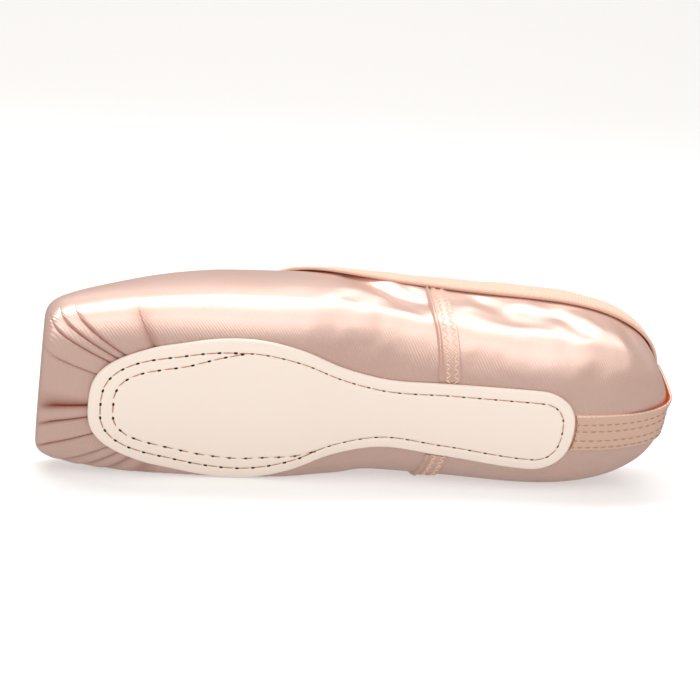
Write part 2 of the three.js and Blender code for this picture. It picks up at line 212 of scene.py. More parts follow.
@dataclass
class ShoeForm:
    """The shape of the last, and every line and surface that follows from it."""

    length: float = 224.0
    heel_axis: float = 48.0
    toe_axis: float = 180.0
    wall: float = 2.0
    gap: float = 0.3
    lower_ease: float = 0.3
    platform_round: float = 7.0
    form_ends: tuple[float, float] = (0.0, 234.0)
    form_round: tuple[float, float] = (2.7, 3.6)
    feather_ends: tuple[float, float] = (38.0, 203.0)
    feather_round: tuple[float, float] = (2.5, 2.9)
    throat_between: tuple[float, float] = (1.3, 2.0)
    throat_steps: int = 20001

    def column(self, name: str, x: Array) -> Array:
        """One column of the sections as a smooth function of x.

        Args:
            name: the column.
            x: where it is read.

        Returns:
            The column's value at each x.
        """
        xs = SECTIONS[:, 0]
        ys = SECTIONS[:, COLUMNS.index(name)]
        spans = np.diff(xs)
        rise = np.diff(ys) / spans
        inner = (rise[:-1] * spans[1:] + rise[1:] * spans[:-1]) / (spans[:-1] + spans[1:])
        slope = np.concatenate((rise[:1], inner, rise[-1:]))
        held = np.clip(x, xs[0], xs[-1])
        i = np.clip(np.searchsorted(xs, held, side="right") - 1, 0, len(xs) - 2)
        t = (held - xs[i]) / spans[i]
        leave = t * (1 - t) ** 2 * spans[i] * slope[i]
        arrive = t**2 * (1 - t) * spans[i] * slope[i + 1]
        return mix(ys[i], ys[i + 1], t * t * (3 - 2 * t)) + leave - arrive

    def station(self, p: Array) -> tuple[Array, Array, Array]:
        """Where a station is: 0 to 1 round the heel, 1 to 2 along the side, 2 to 3 round the toe.

        Args:
            p: station numbers.

        Returns:
            The x that the station turns about, its turn, and which way it reaches.
        """
        along = mix(self.heel_axis, self.toe_axis, np.clip(p - 1, 0, 1))
        turn = np.where(p < 1, p * QUARTER, np.where(p > 2, (3 - p) * QUARTER, QUARTER))
        way = np.where(p < 1, -1.0, np.where(p > 2, 1.0, 0.0))
        return along, turn, way

    def outline(self, p: Array, name: str, grow: Array, ends: Sequence[float],
                rounds: Sequence[float]) -> tuple[Array, Array]:
        """One outline of the last in plan, straight along the sides and rounded at the ends.

        Args:
            p: station numbers.
            name: the column that holds the outline's half-width.
            grow: how far the outline is let out.
            ends: x at the heel end and at the toe end.
            rounds: how square the heel end and the toe end are.

        Returns:
            x and y of each point, on the left side.
        """
        axis, turn, way = self.station(p)
        power = 2 / np.where(p < 1, rounds[0], rounds[1])
        end = np.where(p < 1, ends[0] - grow, ends[1] + grow)
        reach = np.abs(end - axis) * np.maximum(np.cos(turn), 0) ** power
        x = axis + way * reach
        narrow = np.where(way == 0, 1, np.sin(turn) ** power)
        return x, (self.column(name, x) + grow) * narrow

    def skin(self, p: Array, v: Array, side: Array, grow: Array) -> Array:
        """The form itself.

        Args:
            p: station numbers.
            v: -1 at the middle of the underside, 0 at the feather line, 1 at the widest line and
                2 at the ridge.
            side: 1 on the left, -1 on the right.
            grow: how far the form is let out.

        Returns:
            Points in the shoe's own frame.
        """
        p, v, side, grow = np.broadcast_arrays(p, v, side, grow)
        axis, _, _ = self.station(p)
        fx, fy = self.outline(p, "feather", 0 * grow, self.feather_ends, self.feather_round)
        wx, wy = self.outline(p, "half", grow, self.form_ends, self.form_round)
        square = self.column("square", wx)
        power = 2 / np.where(v > 1, square, square - self.lower_ease)
        low = np.clip(v, 0, 1) * QUARTER
        high = np.clip(v - 1, 0, 1) * QUARTER
        out_low = np.sin(low) ** power
        out_high = np.maximum(np.cos(high), 0) ** power
        x = np.where(v > 1, mix(axis, wx, out_high), mix(fx, wx, out_low))
        y = np.where(v > 1, wy * out_high, mix(fy, wy, out_low))
        x = np.where(v <= 0, mix(axis, fx, 1 + v), x)
        y = np.where(v <= 0, fy * (1 + v), y)
        lift = self.column("lift", x)
        middle = lift + self.column("waist", x)
        rise = 1 - np.maximum(np.cos(low), 0) ** power
        below = mix(lift - grow, middle, rise)
        above = mix(middle, self.column("ridge", x) + grow, np.sin(high) ** power)
        flat = self.length - self.wall + grow
        near = np.clip(0.5 + 0.5 * (flat - x) / self.platform_round, 0, 1)
        x = mix(flat, x, near) - self.platform_round * near * (1 - near)
        return np.stack((x, side * y, np.where(v > 1, above, below)), axis=-1)

    def outward(self, p: Array, v: Array, side: Array, grow: Array) -> Array:
        """The way the form faces.

        Args:
            p, v, side, grow: as for skin.

        Returns:
            Unit vectors.
        """
        way = self.skin(p, v, side, np.asarray(grow) + 1.0) - self.skin(p, v, side, grow)
        return way / np.maximum(np.linalg.norm(way, axis=-1, keepdims=True), TINY)

    def collar_v(self, p: Array, drop: Array) -> Array:
        """The v at which the form is a given drop below its collar line, or 2 where it is closed.

        Args:
            p: station numbers.
            drop: distance below the collar line.

        Returns:
            v at each station.
        """
        x, _ = self.outline(p, "half", 0 * p, self.form_ends, self.form_round)
        middle = self.column("lift", x) + self.column("waist", x)
        share = (self.column("collar", x) - drop - middle) / (self.column("ridge", x) - middle)
        return 1 + np.arcsin(np.clip(share, 0, 1) ** (self.column("square", x) / 2)) / QUARTER

    def throat_station(self, drop: float) -> float:
        """The station at which a line that lies drop below the collar line reaches the ridge.

        Args:
            drop: distance below the collar line.

        Returns:
            The station number.
        """
        p = np.linspace(*self.throat_between, self.throat_steps)
        return float(p[np.argmax(self.collar_v(p, drop) >= 2)])

    def inset_v(self, p: Array, inset: Array, margin: float) -> Array:
        """The v of a line that lies a given way inside the edge of a sole.

        Args:
            p: station numbers.
            inset: distance from the sole's edge.
            margin: how far that edge lies outside the feather line.

        Returns:
            v at each station, not past the middle of the underside.
        """
        fx, fy = self.outline(p, "feather", 0 * p, self.feather_ends, self.feather_round)
        wx, wy = self.outline(p, "half", 0 * p, self.form_ends, self.form_round)
        axis, _, _ = self.station(p)
        power = (self.column("square", wx) - self.lower_ease) / 2
        outside = np.clip(margin - inset, 0, None) / np.hypot(wx - fx, wy - fy)
        inside = np.clip(inset - margin, 0, None) / np.hypot(fx - axis, fy)
        return np.where(inset < margin, np.arcsin(outside**power) / QUARTER, -np.minimum(inside, 1))

    def side_station(self, x: Array) -> Array:
        """The station number of a square section at x along the side."""
        return 1 + (x - self.heel_axis) / (self.toe_axis - self.heel_axis)


@dataclass
class Resting:
    """How the shoe lies: rolled and pitched until its sole's edge, ball and heel meet the floor."""

    form: ShoeForm
    roll: float = 21.0
    pitch: float = 2.05
    reach: float = 22.42
    grid: tuple[int, int] = (400, 60)

    def __post_init__(self) -> None:
        """Works out the turn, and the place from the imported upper's own box."""
        stood = np.array(((-1, 0, 0), (0, 0, 1), (0, 1, 0)), float)
        rolled = np.array(Matrix.Rotation(math.radians(self.roll), 3, "X"))
        pitched = np.array(Matrix.Rotation(math.radians(self.pitch), 3, "Y"))
        self.turn = rolled @ pitched @ stood
        self.floorward = self.turn.T @ np.array((0, 0, -1.0))
        p, v = np.meshgrid(np.linspace(0, 3, self.grid[0]), np.linspace(0, 1, self.grid[1]))
        v = v * self.form.collar_v(p, 0.0)
        both = [self.form.skin(p, v, side.value, self.form.wall) for side in Side]
        high = (np.concatenate(both).reshape(-1, 3) @ self.turn.T).max(axis=0)
        packed = np.array(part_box("upper")[1]) / MM
        self.place = np.array((packed[0] - high[0], packed[1] - high[1], self.reach))

    def flatten(self, points: Array, clear: Union[float, Array]) -> Array:
        """Presses points that would lie closer to the floor than clear.

        Args:
            points: in the shoe's own frame.
            clear: least distance from the floor.

        Returns:
            The pressed points.
        """
        past = points @ self.floorward - (self.reach - clear)
        return points - np.maximum(past, 0)[..., None] * self.floorward

    def row(self, points: Array) -> Array:
        """Points of the shoe's own frame in the row's frame, in metres."""
        return (points @ self.turn.T + self.place) * MM

    def row_way(self, ways: Array) -> Array:
        """Directions of the shoe's own frame in the row's frame."""
        return ways @ self.turn.T


Value = Union["Signal", float, int]


class Signal:
    """A node's output, with the operators that shader maths needs."""

    def __init__(self, canvas: "Canvas", socket: bpy.types.NodeSocket) -> None:
        """Keeps the output and the tree it is in."""
        self.canvas = canvas
        self.socket = socket

    def _math(self, operation: str, a: Value, b: Value) -> "Signal":
        """Adds one Math node and returns its result."""
        return self.canvas.node("ShaderNodeMath", {"operation": operation}, {0: a, 1: b})[0]

    def __add__(self, other: Value) -> "Signal":
        """self + other."""
        return self._math("ADD", self, other)

    def __radd__(self, other: Value) -> "Signal":
        """other + self."""
        return self._math("ADD", other, self)

    def __sub__(self, other: Value) -> "Signal":
        """self - other."""
        return self._math("SUBTRACT", self, other)

    def __rsub__(self, other: Value) -> "Signal":
        """other - self."""
        return self._math("SUBTRACT", other, self)

    def __mul__(self, other: Value) -> "Signal":
        """self * other."""
        return self._math("MULTIPLY", self, other)

    def __rmul__(self, other: Value) -> "Signal":
        """other * self."""
        return self._math("MULTIPLY", other, self)

    def __mod__(self, other: Value) -> "Signal":
        """self % other."""
        return self._math("MODULO", self, other)

    def __rmod__(self, other: Value) -> "Signal":
        """other % self."""
        return self._math("MODULO", other, self)


class Canvas:
    """A node tree that is filled in by one method."""

    def __init__(self, tree: bpy.types.NodeTree) -> None:
        """Keeps the tree."""
        self.tree = tree

    def node(self, kind: str, settings: Optional[dict[str, Any]] = None,
             sockets: Optional[dict[Union[str, int], Any]] = None) -> list[Signal]:
        """Adds a node.

        Args:
            kind: the node's type.
            settings: the node's own properties, which are set first.
            sockets: values or signals for its inputs, by name or by number.

        Returns:
            The node's outputs, in order.
        """
        node = self.tree.nodes.new(kind)
        for name, value in (settings or {}).items():
            setattr(node, name, value)
        for key, value in (sockets or {}).items():
            socket = node.inputs[key]
            if isinstance(value, Signal):
                self.tree.links.new(value.socket, socket)
            else:
                socket.default_value = value
        return [Signal(self, socket) for socket in node.outputs]

    def places(self) -> tuple[Signal, Signal]:
        """The UV map, and the object's own coordinates in metres."""
        outputs = self.node("ShaderNodeTexCoord")
        return outputs[UV_OUTPUT], outputs[OBJECT_OUTPUT]

    def mark(self, name: str) -> Signal:
        """A number that the mesh carries at each point."""
        return self.node("ShaderNodeAttribute", {"attribute_name": name})[FACTOR_OUTPUT]

    def blend(self, a: Any, b: Any, factor: Any) -> Signal:
        """Mixes two colours.

        Args:
            a, b: colours or signals.
            factor: share of b.

        Returns:
            The mixed colour.
        """
        # Inputs 6 and 7 and output 2 are the ones for colours
        return self.node("ShaderNodeMix", {"data_type": "RGBA"}, {0: factor, 6: a, 7: b})[2]

    def noise(self, coordinates: Signal, scale: float, detail: float) -> Signal:
        """A soft noise between 0 and 1.

        Args:
            coordinates: where it is read.
            scale: features in one unit of the coordinates.
            detail: octaves.

        Returns:
            The noise.
        """
        return self.node("ShaderNodeTexNoise", {}, {
            "Vector": coordinates, "Scale": scale, "Detail": detail,
        })[0]

    def bands(self, coordinates: Signal, pitch: float, turn: float) -> Signal:
        """Straight bands across a UV map.

        Args:
            coordinates: the UV map.
            pitch: distance from band to band, in millimetres.
            turn: degrees that the bands are turned by.

        Returns:
            The bands as a wave between 0 and 1.
        """
        turned = self.node("ShaderNodeMapping", {}, {
            "Vector": coordinates, "Rotation": (0, 0, math.radians(turn)),
        })[0]
        scale = ONE_BAND / (pitch * UV_PER_MM)
        return self.node("ShaderNodeTexWave", {}, {"Vector": turned, "Scale": scale})[1]


@dataclass(frozen=True)
class Finish:
    """What every finish has: a name, its main colour and its gloss."""

    name: str
    colour: Colour
    roughness: float = 0.6
    metallic: float = 0.0
    specular: float = 0.5
    glow: float = 0.0

    def material(self) -> bpy.types.Material:
        """The finish as a material, made once.

        Returns:
            The material.
        """
        made = bpy.data.materials.get(self.name)
        if made:
            return made
        made = bpy.data.materials.new(self.name)
        made.use_nodes = True
        canvas = Canvas(made.node_tree)
        shader = made.node_tree.nodes["Principled BSDF"]
        shader.inputs["Base Color"].default_value = self.colour
        shader.inputs["Roughness"].default_value = self.roughness
        shader.inputs["Metallic"].default_value = self.metallic
        shader.inputs["Specular IOR Level"].default_value = self.specular
        shader.inputs["Emission Color"].default_value = self.colour
        shader.inputs["Emission Strength"].default_value = self.glow
        for name, signal in self.surface(canvas).items():
            made.node_tree.links.new(signal.socket, shader.inputs[name])
        made.diffuse_color = self.colour
        return made

    def surface(self, canvas: Canvas) -> dict[str, Signal]:
        """What changes over the surface: nothing, on a plain finish.

        Args:
            canvas: the material's nodes.

        Returns:
            Signals by the name of the shader's socket.
        """
        return {}

    def relief(self, canvas: Canvas, height: Signal, depth: float, strength: float) -> Signal:
        """A bump.

        Args:
            canvas: the material's nodes.
            height: between 0 and 1.
            depth: millimetres from 0 to 1.
            strength: share of it that shows.

        Returns:
            The bumped normal.
        """
        return canvas.node("ShaderNodeBump", {}, {
            "Strength": strength, "Distance": depth * MM, "Height": height,
        })[0]


@dataclass(frozen=True)
class Satin(Finish):
    """Glossy woven satin, with a fine twill, soft dents, and painted shade mixed in where the fold mark
    lies.
    """

    warm: Colour = (1, 1, 1, 1)
    # Painted shade: the colour that the fold mark mixes in
    fold: Colour = (0, 0, 0, 1)
    twill_pitch: float = 0.85
    twill_turn: float = 38.0
    twill_depth: float = 0.07
    dent_scale: float = 72.0
    dent_depth: float = 2.0
    cloud_scale: float = 28.0
    fleck_scale: float = 900.0
    fleck_gloss: float = 0.06
    fold_gloss: float = 0.3
    relief_share: float = 0.8

    def surface(self, canvas: Canvas) -> dict[str, Signal]:
        """Colour, gloss and relief of the satin.

        Args:
            canvas: the material's nodes.

        Returns:
            Signals by the name of the shader's socket.
        """
        uv, metres = canvas.places()
        fold = canvas.mark("fold")
        slack = canvas.mark("slack")
        cloud = canvas.noise(metres, self.cloud_scale, detail=2.0)
        fleck = canvas.noise(metres, self.fleck_scale, detail=2.0)
        tone = canvas.blend(self.colour, self.warm, cloud)
        # Painted shade along the toe's pleats, and a painted orange glow under the heel strip's standing
        # edge, mixed in by the fold mark
        tone = canvas.blend(tone, self.fold, fold)
        twill = canvas.bands(uv, self.twill_pitch, self.twill_turn)
        dents = canvas.noise(metres, self.dent_scale, detail=1.0)
        height = twill * self.twill_depth + dents * slack * self.dent_depth
        return {
            "Base Color": tone,
            "Roughness": self.roughness + (fleck - 0.5) * self.fleck_gloss + fold * self.fold_gloss,
            "Normal": self.relief(canvas, height, 1.0, self.relief_share),
        }


@dataclass(frozen=True)
class Leather(Finish):
    """Smooth pale sole leather with a fine grain and faint clouds."""

    cloud: Colour = (1, 1, 1, 1)
    cloud_scale: float = 34.0
    pore_scale: float = 1500.0
    pore_share: float = 0.5
    grain_scale: float = 700.0
    grain_share: float = 0.6
    grain_gloss: float = 0.2
    relief_depth: float = 0.06
    relief_share: float = 0.5

    def surface(self, canvas: Canvas) -> dict[str, Signal]:
        """Colour, gloss and relief of the leather.

        Args:
            canvas: the material's nodes.

        Returns:
            Signals by the name of the shader's socket.
        """
        _, metres = canvas.places()
        cloud = canvas.noise(metres, self.cloud_scale, detail=4.0)
        pores = canvas.node("ShaderNodeTexVoronoi", {}, {"Vector": metres, "Scale": self.pore_scale})[0]
        grain = canvas.noise(metres, self.grain_scale, detail=3.0)
        height = pores * self.pore_share + grain * self.grain_share
        return {
            "Base Color": canvas.blend(self.colour, self.cloud, cloud),
            "Roughness": self.roughness + (grain - 0.5) * self.grain_gloss,
            "Normal": self.relief(canvas, height, self.relief_depth, self.relief_share),
        }


@dataclass(frozen=True)
class Weave(Finish):
    """Plain matt cloth: threads one way over threads the other way."""

    shade: Colour = (1, 1, 1, 1)
    pitch: float = 0.8
    depth: float = 0.08
    cloud_scale: float = 60.0
    thread_share: float = 0.4
    relief_share: float = 0.6

    def surface(self, canvas: Canvas) -> dict[str, Signal]:
        """Colour and relief of the cloth.

        Args:
            canvas: the material's nodes.

        Returns:
            Signals by the name of the shader's socket.
        """
        uv, metres = canvas.places()
        warp = canvas.bands(uv, self.pitch, 0.0)
        weft = canvas.bands(uv, self.pitch, RIGHT_ANGLE)
        threads = (warp + weft) * 0.5
        cloud = canvas.noise(metres, self.cloud_scale, detail=3.0)
        shaded = threads * self.thread_share + cloud * (1 - self.thread_share)
        return {
            "Base Color": canvas.blend(self.colour, self.shade, shaded),
            "Normal": self.relief(canvas, threads, self.depth, self.relief_share),
        }


# The fold colour is the reddish-brown painted shade in the pleats round the toe
SATIN = Satin(
    "pink_satin", srgb(230, 190, 174), roughness=0.30, metallic=0.5,
    warm=srgb(234, 204, 193), fold=srgb(150, 62, 34),
)
# The fold colour here is a painted orange glow on the strip's underside, in the shaded gap where its edge
# stands off
STRIP_SATIN = Satin(
    "strip_satin", srgb(226, 186, 164), roughness=0.36, metallic=0.35,
    warm=srgb(230, 196, 178), fold=srgb(235, 128, 70), twill_pitch=1.0, dent_depth=0.5,
)
SOLE_LEATHER = Leather("sole_leather", srgb(182, 144, 120), 0.5, cloud=srgb(175, 136, 111))
LINING = Weave("cotton_lining", srgb(232, 204, 182), 0.85, shade=srgb(220, 184, 158))
BOARD = Weave("insole_board", srgb(236, 220, 203), 0.85, shade=srgb(222, 203, 184), pitch=1.1)
TAPE = Weave(
    "ribbed_tape", srgb(238, 198, 178), 0.8, shade=srgb(228, 180, 158), pitch=0.5, depth=0.05,
)
THREAD = Finish("pale_thread", srgb(238, 200, 176), 0.7)
STRIP_THREAD = Finish("strip_thread", srgb(178, 134, 110), 0.7)
SOLE_THREAD = Finish("sole_thread", srgb(176, 126, 92), 0.7)
# Painted shade: a dark finish for patches that stand for the shade inside each stitch hole
PAINTED_HOLE_SHADE = Finish("painted_hole_shade", srgb(58, 38, 26), 0.9)
FLOOR = Finish("pale_floor", srgb(188, 187, 186), 0.9, specular=0.0, glow=0.9)


@dataclass
class Sheetwork:
    """A closed grid of points, with what each point carries, that becomes one piece."""

    name: str
    points: Array
    uv: Array
    marks: dict[str, Array]
    materials: Sequence[bpy.types.Material]
    row_finish: Optional[Array] = None
    keep: Optional[Array] = None

    def piece(self) -> bpy.types.Object:
        """Welds the grid and makes the object, its faces pointing out.

        Returns:
            The object, at the origin, in the row's frame.
        """
        lines, rows = self.points.shape[:2]
        ids = np.arange(lines * rows).reshape(lines, rows)
        corners = (ids[:-1, :-1], ids[1:, :-1], ids[1:, 1:], ids[:-1, 1:])
        shown = np.ones((lines - 1, rows - 1), bool) if self.keep is None else self.keep
        finish = np.zeros(rows - 1, int) if self.row_finish is None else self.row_finish
        finish = np.broadcast_to(finish, shown.shape)[shown]
        a, b, c, d = (corner[shown] for corner in corners)
        faces = np.concatenate((np.stack((a, b, c), -1), np.stack((a, c, d), -1)))
        finish = np.concatenate((finish, finish))

        flat = self.points.reshape(-1, 3)
        keys = np.round(flat / WELD).astype(np.int64)
        _, first, joined = np.unique(keys, axis=0, return_index=True, return_inverse=True)
        welded = joined.reshape(-1)[faces]
        whole = ((welded[:, 0] != welded[:, 1]) & (welded[:, 1] != welded[:, 2])
                 & (welded[:, 2] != welded[:, 0]))
        faces, welded, finish = faces[whole], welded[whole], finish[whole]
        spots = flat[first]
        p, q, r = (spots[welded[:, k]] for k in range(3))
        if np.einsum("ij,ij->i", p, np.cross(q, r)).sum() < 0:
            faces, welded = faces[:, ::-1], welded[:, ::-1]

        mesh = bpy.data.meshes.new(self.name)
        mesh.from_pydata(spots.tolist(), [], welded.tolist())
        mesh.polygons.foreach_set("use_smooth", np.ones(len(welded), bool))
        mesh.polygons.foreach_set("material_index", finish.astype(np.int32))
        layer = mesh.uv_layers.new(name="UVMap")
        layer.data.foreach_set("uv", self.uv.reshape(-1, 2)[faces.reshape(-1)].reshape(-1))
        for label, values in self.marks.items():
            mark = mesh.attributes.new(label, "FLOAT", "POINT")
            mark.data.foreach_set("value", values.reshape(-1)[first])
        for material in self.materials:
            mesh.materials.append(material)
        mesh.update()
        made = bpy.data.objects.new(self.name, mesh)
        bpy.context.scene.collection.objects.link(made)
        return made


def arc_lengths(points: Array, axis: int) -> Array:
    """Lengths along one direction of a grid.

    Args:
        points: the grid.
        axis: the direction, 0 or 1.

    Returns:
        The length from the grid's start to each point.
    """
    steps = np.linalg.norm(np.diff(points, axis=axis), axis=-1)
    start = np.zeros_like(np.take(steps, [0], axis=axis))
    return np.concatenate((start, np.cumsum(steps, axis=axis)), axis=axis)


def cloth_map(points: Array) -> Array:
    """A UV map that keeps lengths along both directions of a grid."""
    return np.stack((arc_lengths(points, 0), arc_lengths(points, 1)), -1) * UV_PER_MM


def band_loop(outer: Array, inner: Array) -> Array:
    """Closes a band's two faces into one skin, its long edges drawn together halfway.

    Args:
        outer, inner: the band's faces, a line for each place across it.

    Returns:
        The grid of the whole skin.
    """
    middle = (outer + inner) / 2
    outer = np.concatenate((middle[:1], outer, middle[-1:]))
    inner = np.concatenate((middle[:1], inner, middle[-1:]))
    return np.concatenate((outer, inner[:, ::-1], outer[:, :1]), axis=1)


@dataclass
class Around:
    """Stations once round the shoe: up the left side to the toe and back down the right."""

    p: Array
    side: Array

    @classmethod
    def of(cls, left: Array, right: Array) -> "Around":
        """Joins the two sides into a ring that ends where it starts.

        Args:
            left, right: stations from the heel to the toe on each side.

        Returns:
            The ring.
        """
        p = np.concatenate((left, right[::-1][1:]))
        side = np.concatenate((np.ones(len(left)), -np.ones(len(right) - 1)))
        return cls(p[:, None], side[:, None])

    @classmethod
    def even(cls, heel: int, side: int, toe: int) -> "Around":
        """Makes a ring that is alike on both sides.

        Args:
            heel, side, toe: lines round the heel, along the side and round the toe.

        Returns:
            The ring.
        """
        p = np.concatenate((
            np.linspace(0, 1, heel), np.linspace(1, 2, side)[1:], np.linspace(2, 3, toe)[1:],
        ))
        return cls.of(p, p)


@dataclass
class Upper:
    """The satin upper and its lining: one wall, pleated round the toe and creased at the quarters."""

    form: ShoeForm
    rest: Resting
    heel_lines: int = 36
    quarter_lines: int = 60
    throat_lines: int = 24
    vamp_lines: int = 26
    throat_run: float = 0.2
    toe_step: float = 1.5
    toe_end: float = 89.9
    fold_lines: tuple[float, ...] = (-2.0, -1.2, -0.7, -0.4, -0.2, 0.0, 0.2, 0.4, 0.7, 1.2, 2.0)
    under_rows: int = 30
    over_rows: int = 52
    fold_fade: float = 5.0
    fold_ease: float = 0.8
    groove_share: float = 0.75
    groove_turn: float = 1.0
    shade_turn: float = 1.9
    slack_from: float = 150.0
    slack_to: float = 105.0
    crease_ends: float = 0.45
    girth_station: float = 1.85
    girth_steps: int = 200

    def stations(self, side: Side) -> Array:
        """Stations along one side, closest together at the folds round the toe.

        Args:
            side: which side.

        Returns:
            Station numbers from the heel's back to the toe's front.
        """
        throat = self.form.throat_station(0.0)
        steps = np.linspace(1, 0, self.throat_lines) ** 2
        near = np.array(self.fold_lines)
        turns = [np.arange(0, RIGHT_ANGLE, self.toe_step)]
        turns += [fold.turn * side.value + near for fold in FOLDS if fold.turn * side.value > 0]
        toe = np.unique(np.round(np.clip(np.concatenate(turns), 0, self.toe_end), 3))
        return np.concatenate((
            np.linspace(0, 1, self.heel_lines),
            np.linspace(1, throat - self.throat_run, self.quarter_lines)[1:],
            (throat - self.throat_run * steps)[1:],
            np.linspace(throat, 2, self.vamp_lines)[1:],
            (3 - toe / RIGHT_ANGLE)[::-1],
        ))

    def folds(self, p: Array, v: Array, side: Array) -> tuple[Array, Array]:
        """How deep the folds round the toe cut in, and how much painted shade they get.

        Args:
            p, v, side: places on the form.

        Returns:
            The depth and the painted shade at each place.
        """
        turn = np.degrees(self.form.station(p)[1]) * side
        turns = np.array([fold.turn for fold in FOLDS], float)
        depths = np.array([fold.depth for fold in FOLDS])
        after = (turns[:, None, None] > turn).sum(axis=0)
        held = np.clip(after, 1, len(FOLDS) - 1)
        ease = (turn - turns[held]) / (turns[held - 1] - turns[held])
        inside = (p > 2) & (after > 0) & (after < len(FOLDS))
        depth = np.where(inside, depths[held - 1] * np.clip(ease, 0, 1) ** self.fold_ease, 0)
        shade = np.zeros_like(depth)
        for fold in FOLDS:
            away = turn - fold.turn
            depth = depth + self.groove_share * fold.depth * bell(away, self.groove_turn) * (p > 2)
            # Painted shade along the fold's line
            mark = fold.shade * bell(away, self.shade_turn) * (p > 2)
            shade = np.maximum(shade, mark)
        ahead = self.form.skin(p, v, side, self.form.wall)[..., 0]
        room = np.clip((self.form.length - ahead) / self.fold_fade, 0, 1)
        fade = np.clip(1 - v * v, 0, 1) * room
        return depth * fade, shade * np.sqrt(fade)

    def creases(self, points: Array, side: Array) -> Array:
        """How deep the listed creases cut in.

        Args:
            points: the smooth outside.
            side: 1 on the left, -1 on the right.

        Returns:
            The depth at each point.
        """
        spot = points[..., (0, 2)]
        depth = np.zeros(spot.shape[:-1])
        for crease in CREASES:
            start = np.array((crease.x0, crease.z0))
            run = np.array((crease.x1, crease.z1)) - start
            share = np.clip((spot - start) @ run / (run @ run), 0, 1)
            away = np.linalg.norm(spot - start - share[..., None] * run, axis=-1)
            trough = crease.depth * bell(away, crease.width) * (side == crease.side.value)
            depth += trough * mix(self.crease_ends, 1, np.sin(share * math.pi))
        return depth

    def build(self) -> bpy.types.Object:
        """Makes the upper.

        Returns:
            The object.
        """
        ring = Around.of(self.stations(Side.LEFT), self.stations(Side.RIGHT))
        top = self.form.collar_v(ring.p, 0.0)
        low = np.linspace(0, 1, self.under_rows)[None, :]
        high = np.minimum(np.linspace(1, 2, self.over_rows)[None, 1:], top)
        v = np.concatenate((np.broadcast_to(low, (len(top), self.under_rows)), high), axis=1)
        p, v, side = np.broadcast_arrays(ring.p, v, ring.side)
        smooth = self.form.skin(p, v, side, self.form.wall)
        depth, shade = self.folds(p, v, side)
        depth = depth + self.creases(smooth, side)
        outer = self.rest.flatten(self.form.skin(p, v, side, self.form.wall - depth), 0.0)
        inner = self.rest.flatten(self.form.skin(p, v, side, 0.0), self.form.wall)

        rows = v.shape[1]
        points = np.concatenate((outer, inner[:, ::-1], outer[:, :1]), axis=1)
        upward = np.linspace(0, 2, self.girth_steps)
        girth = self.form.skin(np.array(self.girth_station), upward, 1, self.form.wall)
        girth = np.interp(v, upward, arc_lengths(girth[:, None], 0)[:, 0])
        maps = np.stack((smooth[..., 0], girth), -1) * UV_PER_MM
        uv = np.concatenate((maps, maps[:, ::-1], maps[:, :1]), axis=1)
        # Painted shade along the pleats, on the outer face only; it rides on the fold mark
        shade = np.concatenate((shade, 0 * shade, shade[:, :1]), axis=1)
        slack = 1 - smoothstep(points[..., 0], self.slack_to, self.slack_from)
        open_rim = (ring.p <= self.form.throat_station(0.0) + TINY)[:, 0]
        keep = np.ones((len(points) - 1, points.shape[1] - 1), bool)
        keep[:, rows - 1] = open_rim[:-1] & open_rim[1:]
        finish = np.zeros(points.shape[1] - 1, int)
        finish[rows - 1:] = 1
        return Sheetwork(
            "upper_satin", self.rest.row(points), uv, {"fold": shade, "slack": slack},
            (SATIN.material(), LINING.material()), finish, keep,
        ).piece()


@dataclass
class SewnLine:
    """A line on the shoe, with the way the surface faces along it."""

    points: Array
    ways: Array
    closed: bool = False

    def resampled(self, step: float) -> "SewnLine":
        """The same line with its points evenly spaced.

        Args:
            step: distance from point to point.

        Returns:
            The new line.
        """
        along = arc_lengths(self.points[:, None], 0)[:, 0]
        count = max(2, int(along[-1] / step))
        at = np.linspace(0, along[-1], count, endpoint=not self.closed)
        points = np.stack([np.interp(at, along, self.points[:, k]) for k in range(3)], -1)
        ways = np.stack([np.interp(at, along, self.ways[:, k]) for k in range(3)], -1)
        return SewnLine(points, ways, self.closed)

    def later(self, count: int) -> "SewnLine":
        """The same line, started some points later.

        Args:
            count: points that a closed line moves to its end, or that an open one leaves out.

        Returns:
            The new line.
        """
        if self.closed:
            return SewnLine(np.roll(self.points, -count, 0), np.roll(self.ways, -count, 0), True)
        return SewnLine(self.points[count:], self.ways[count:])


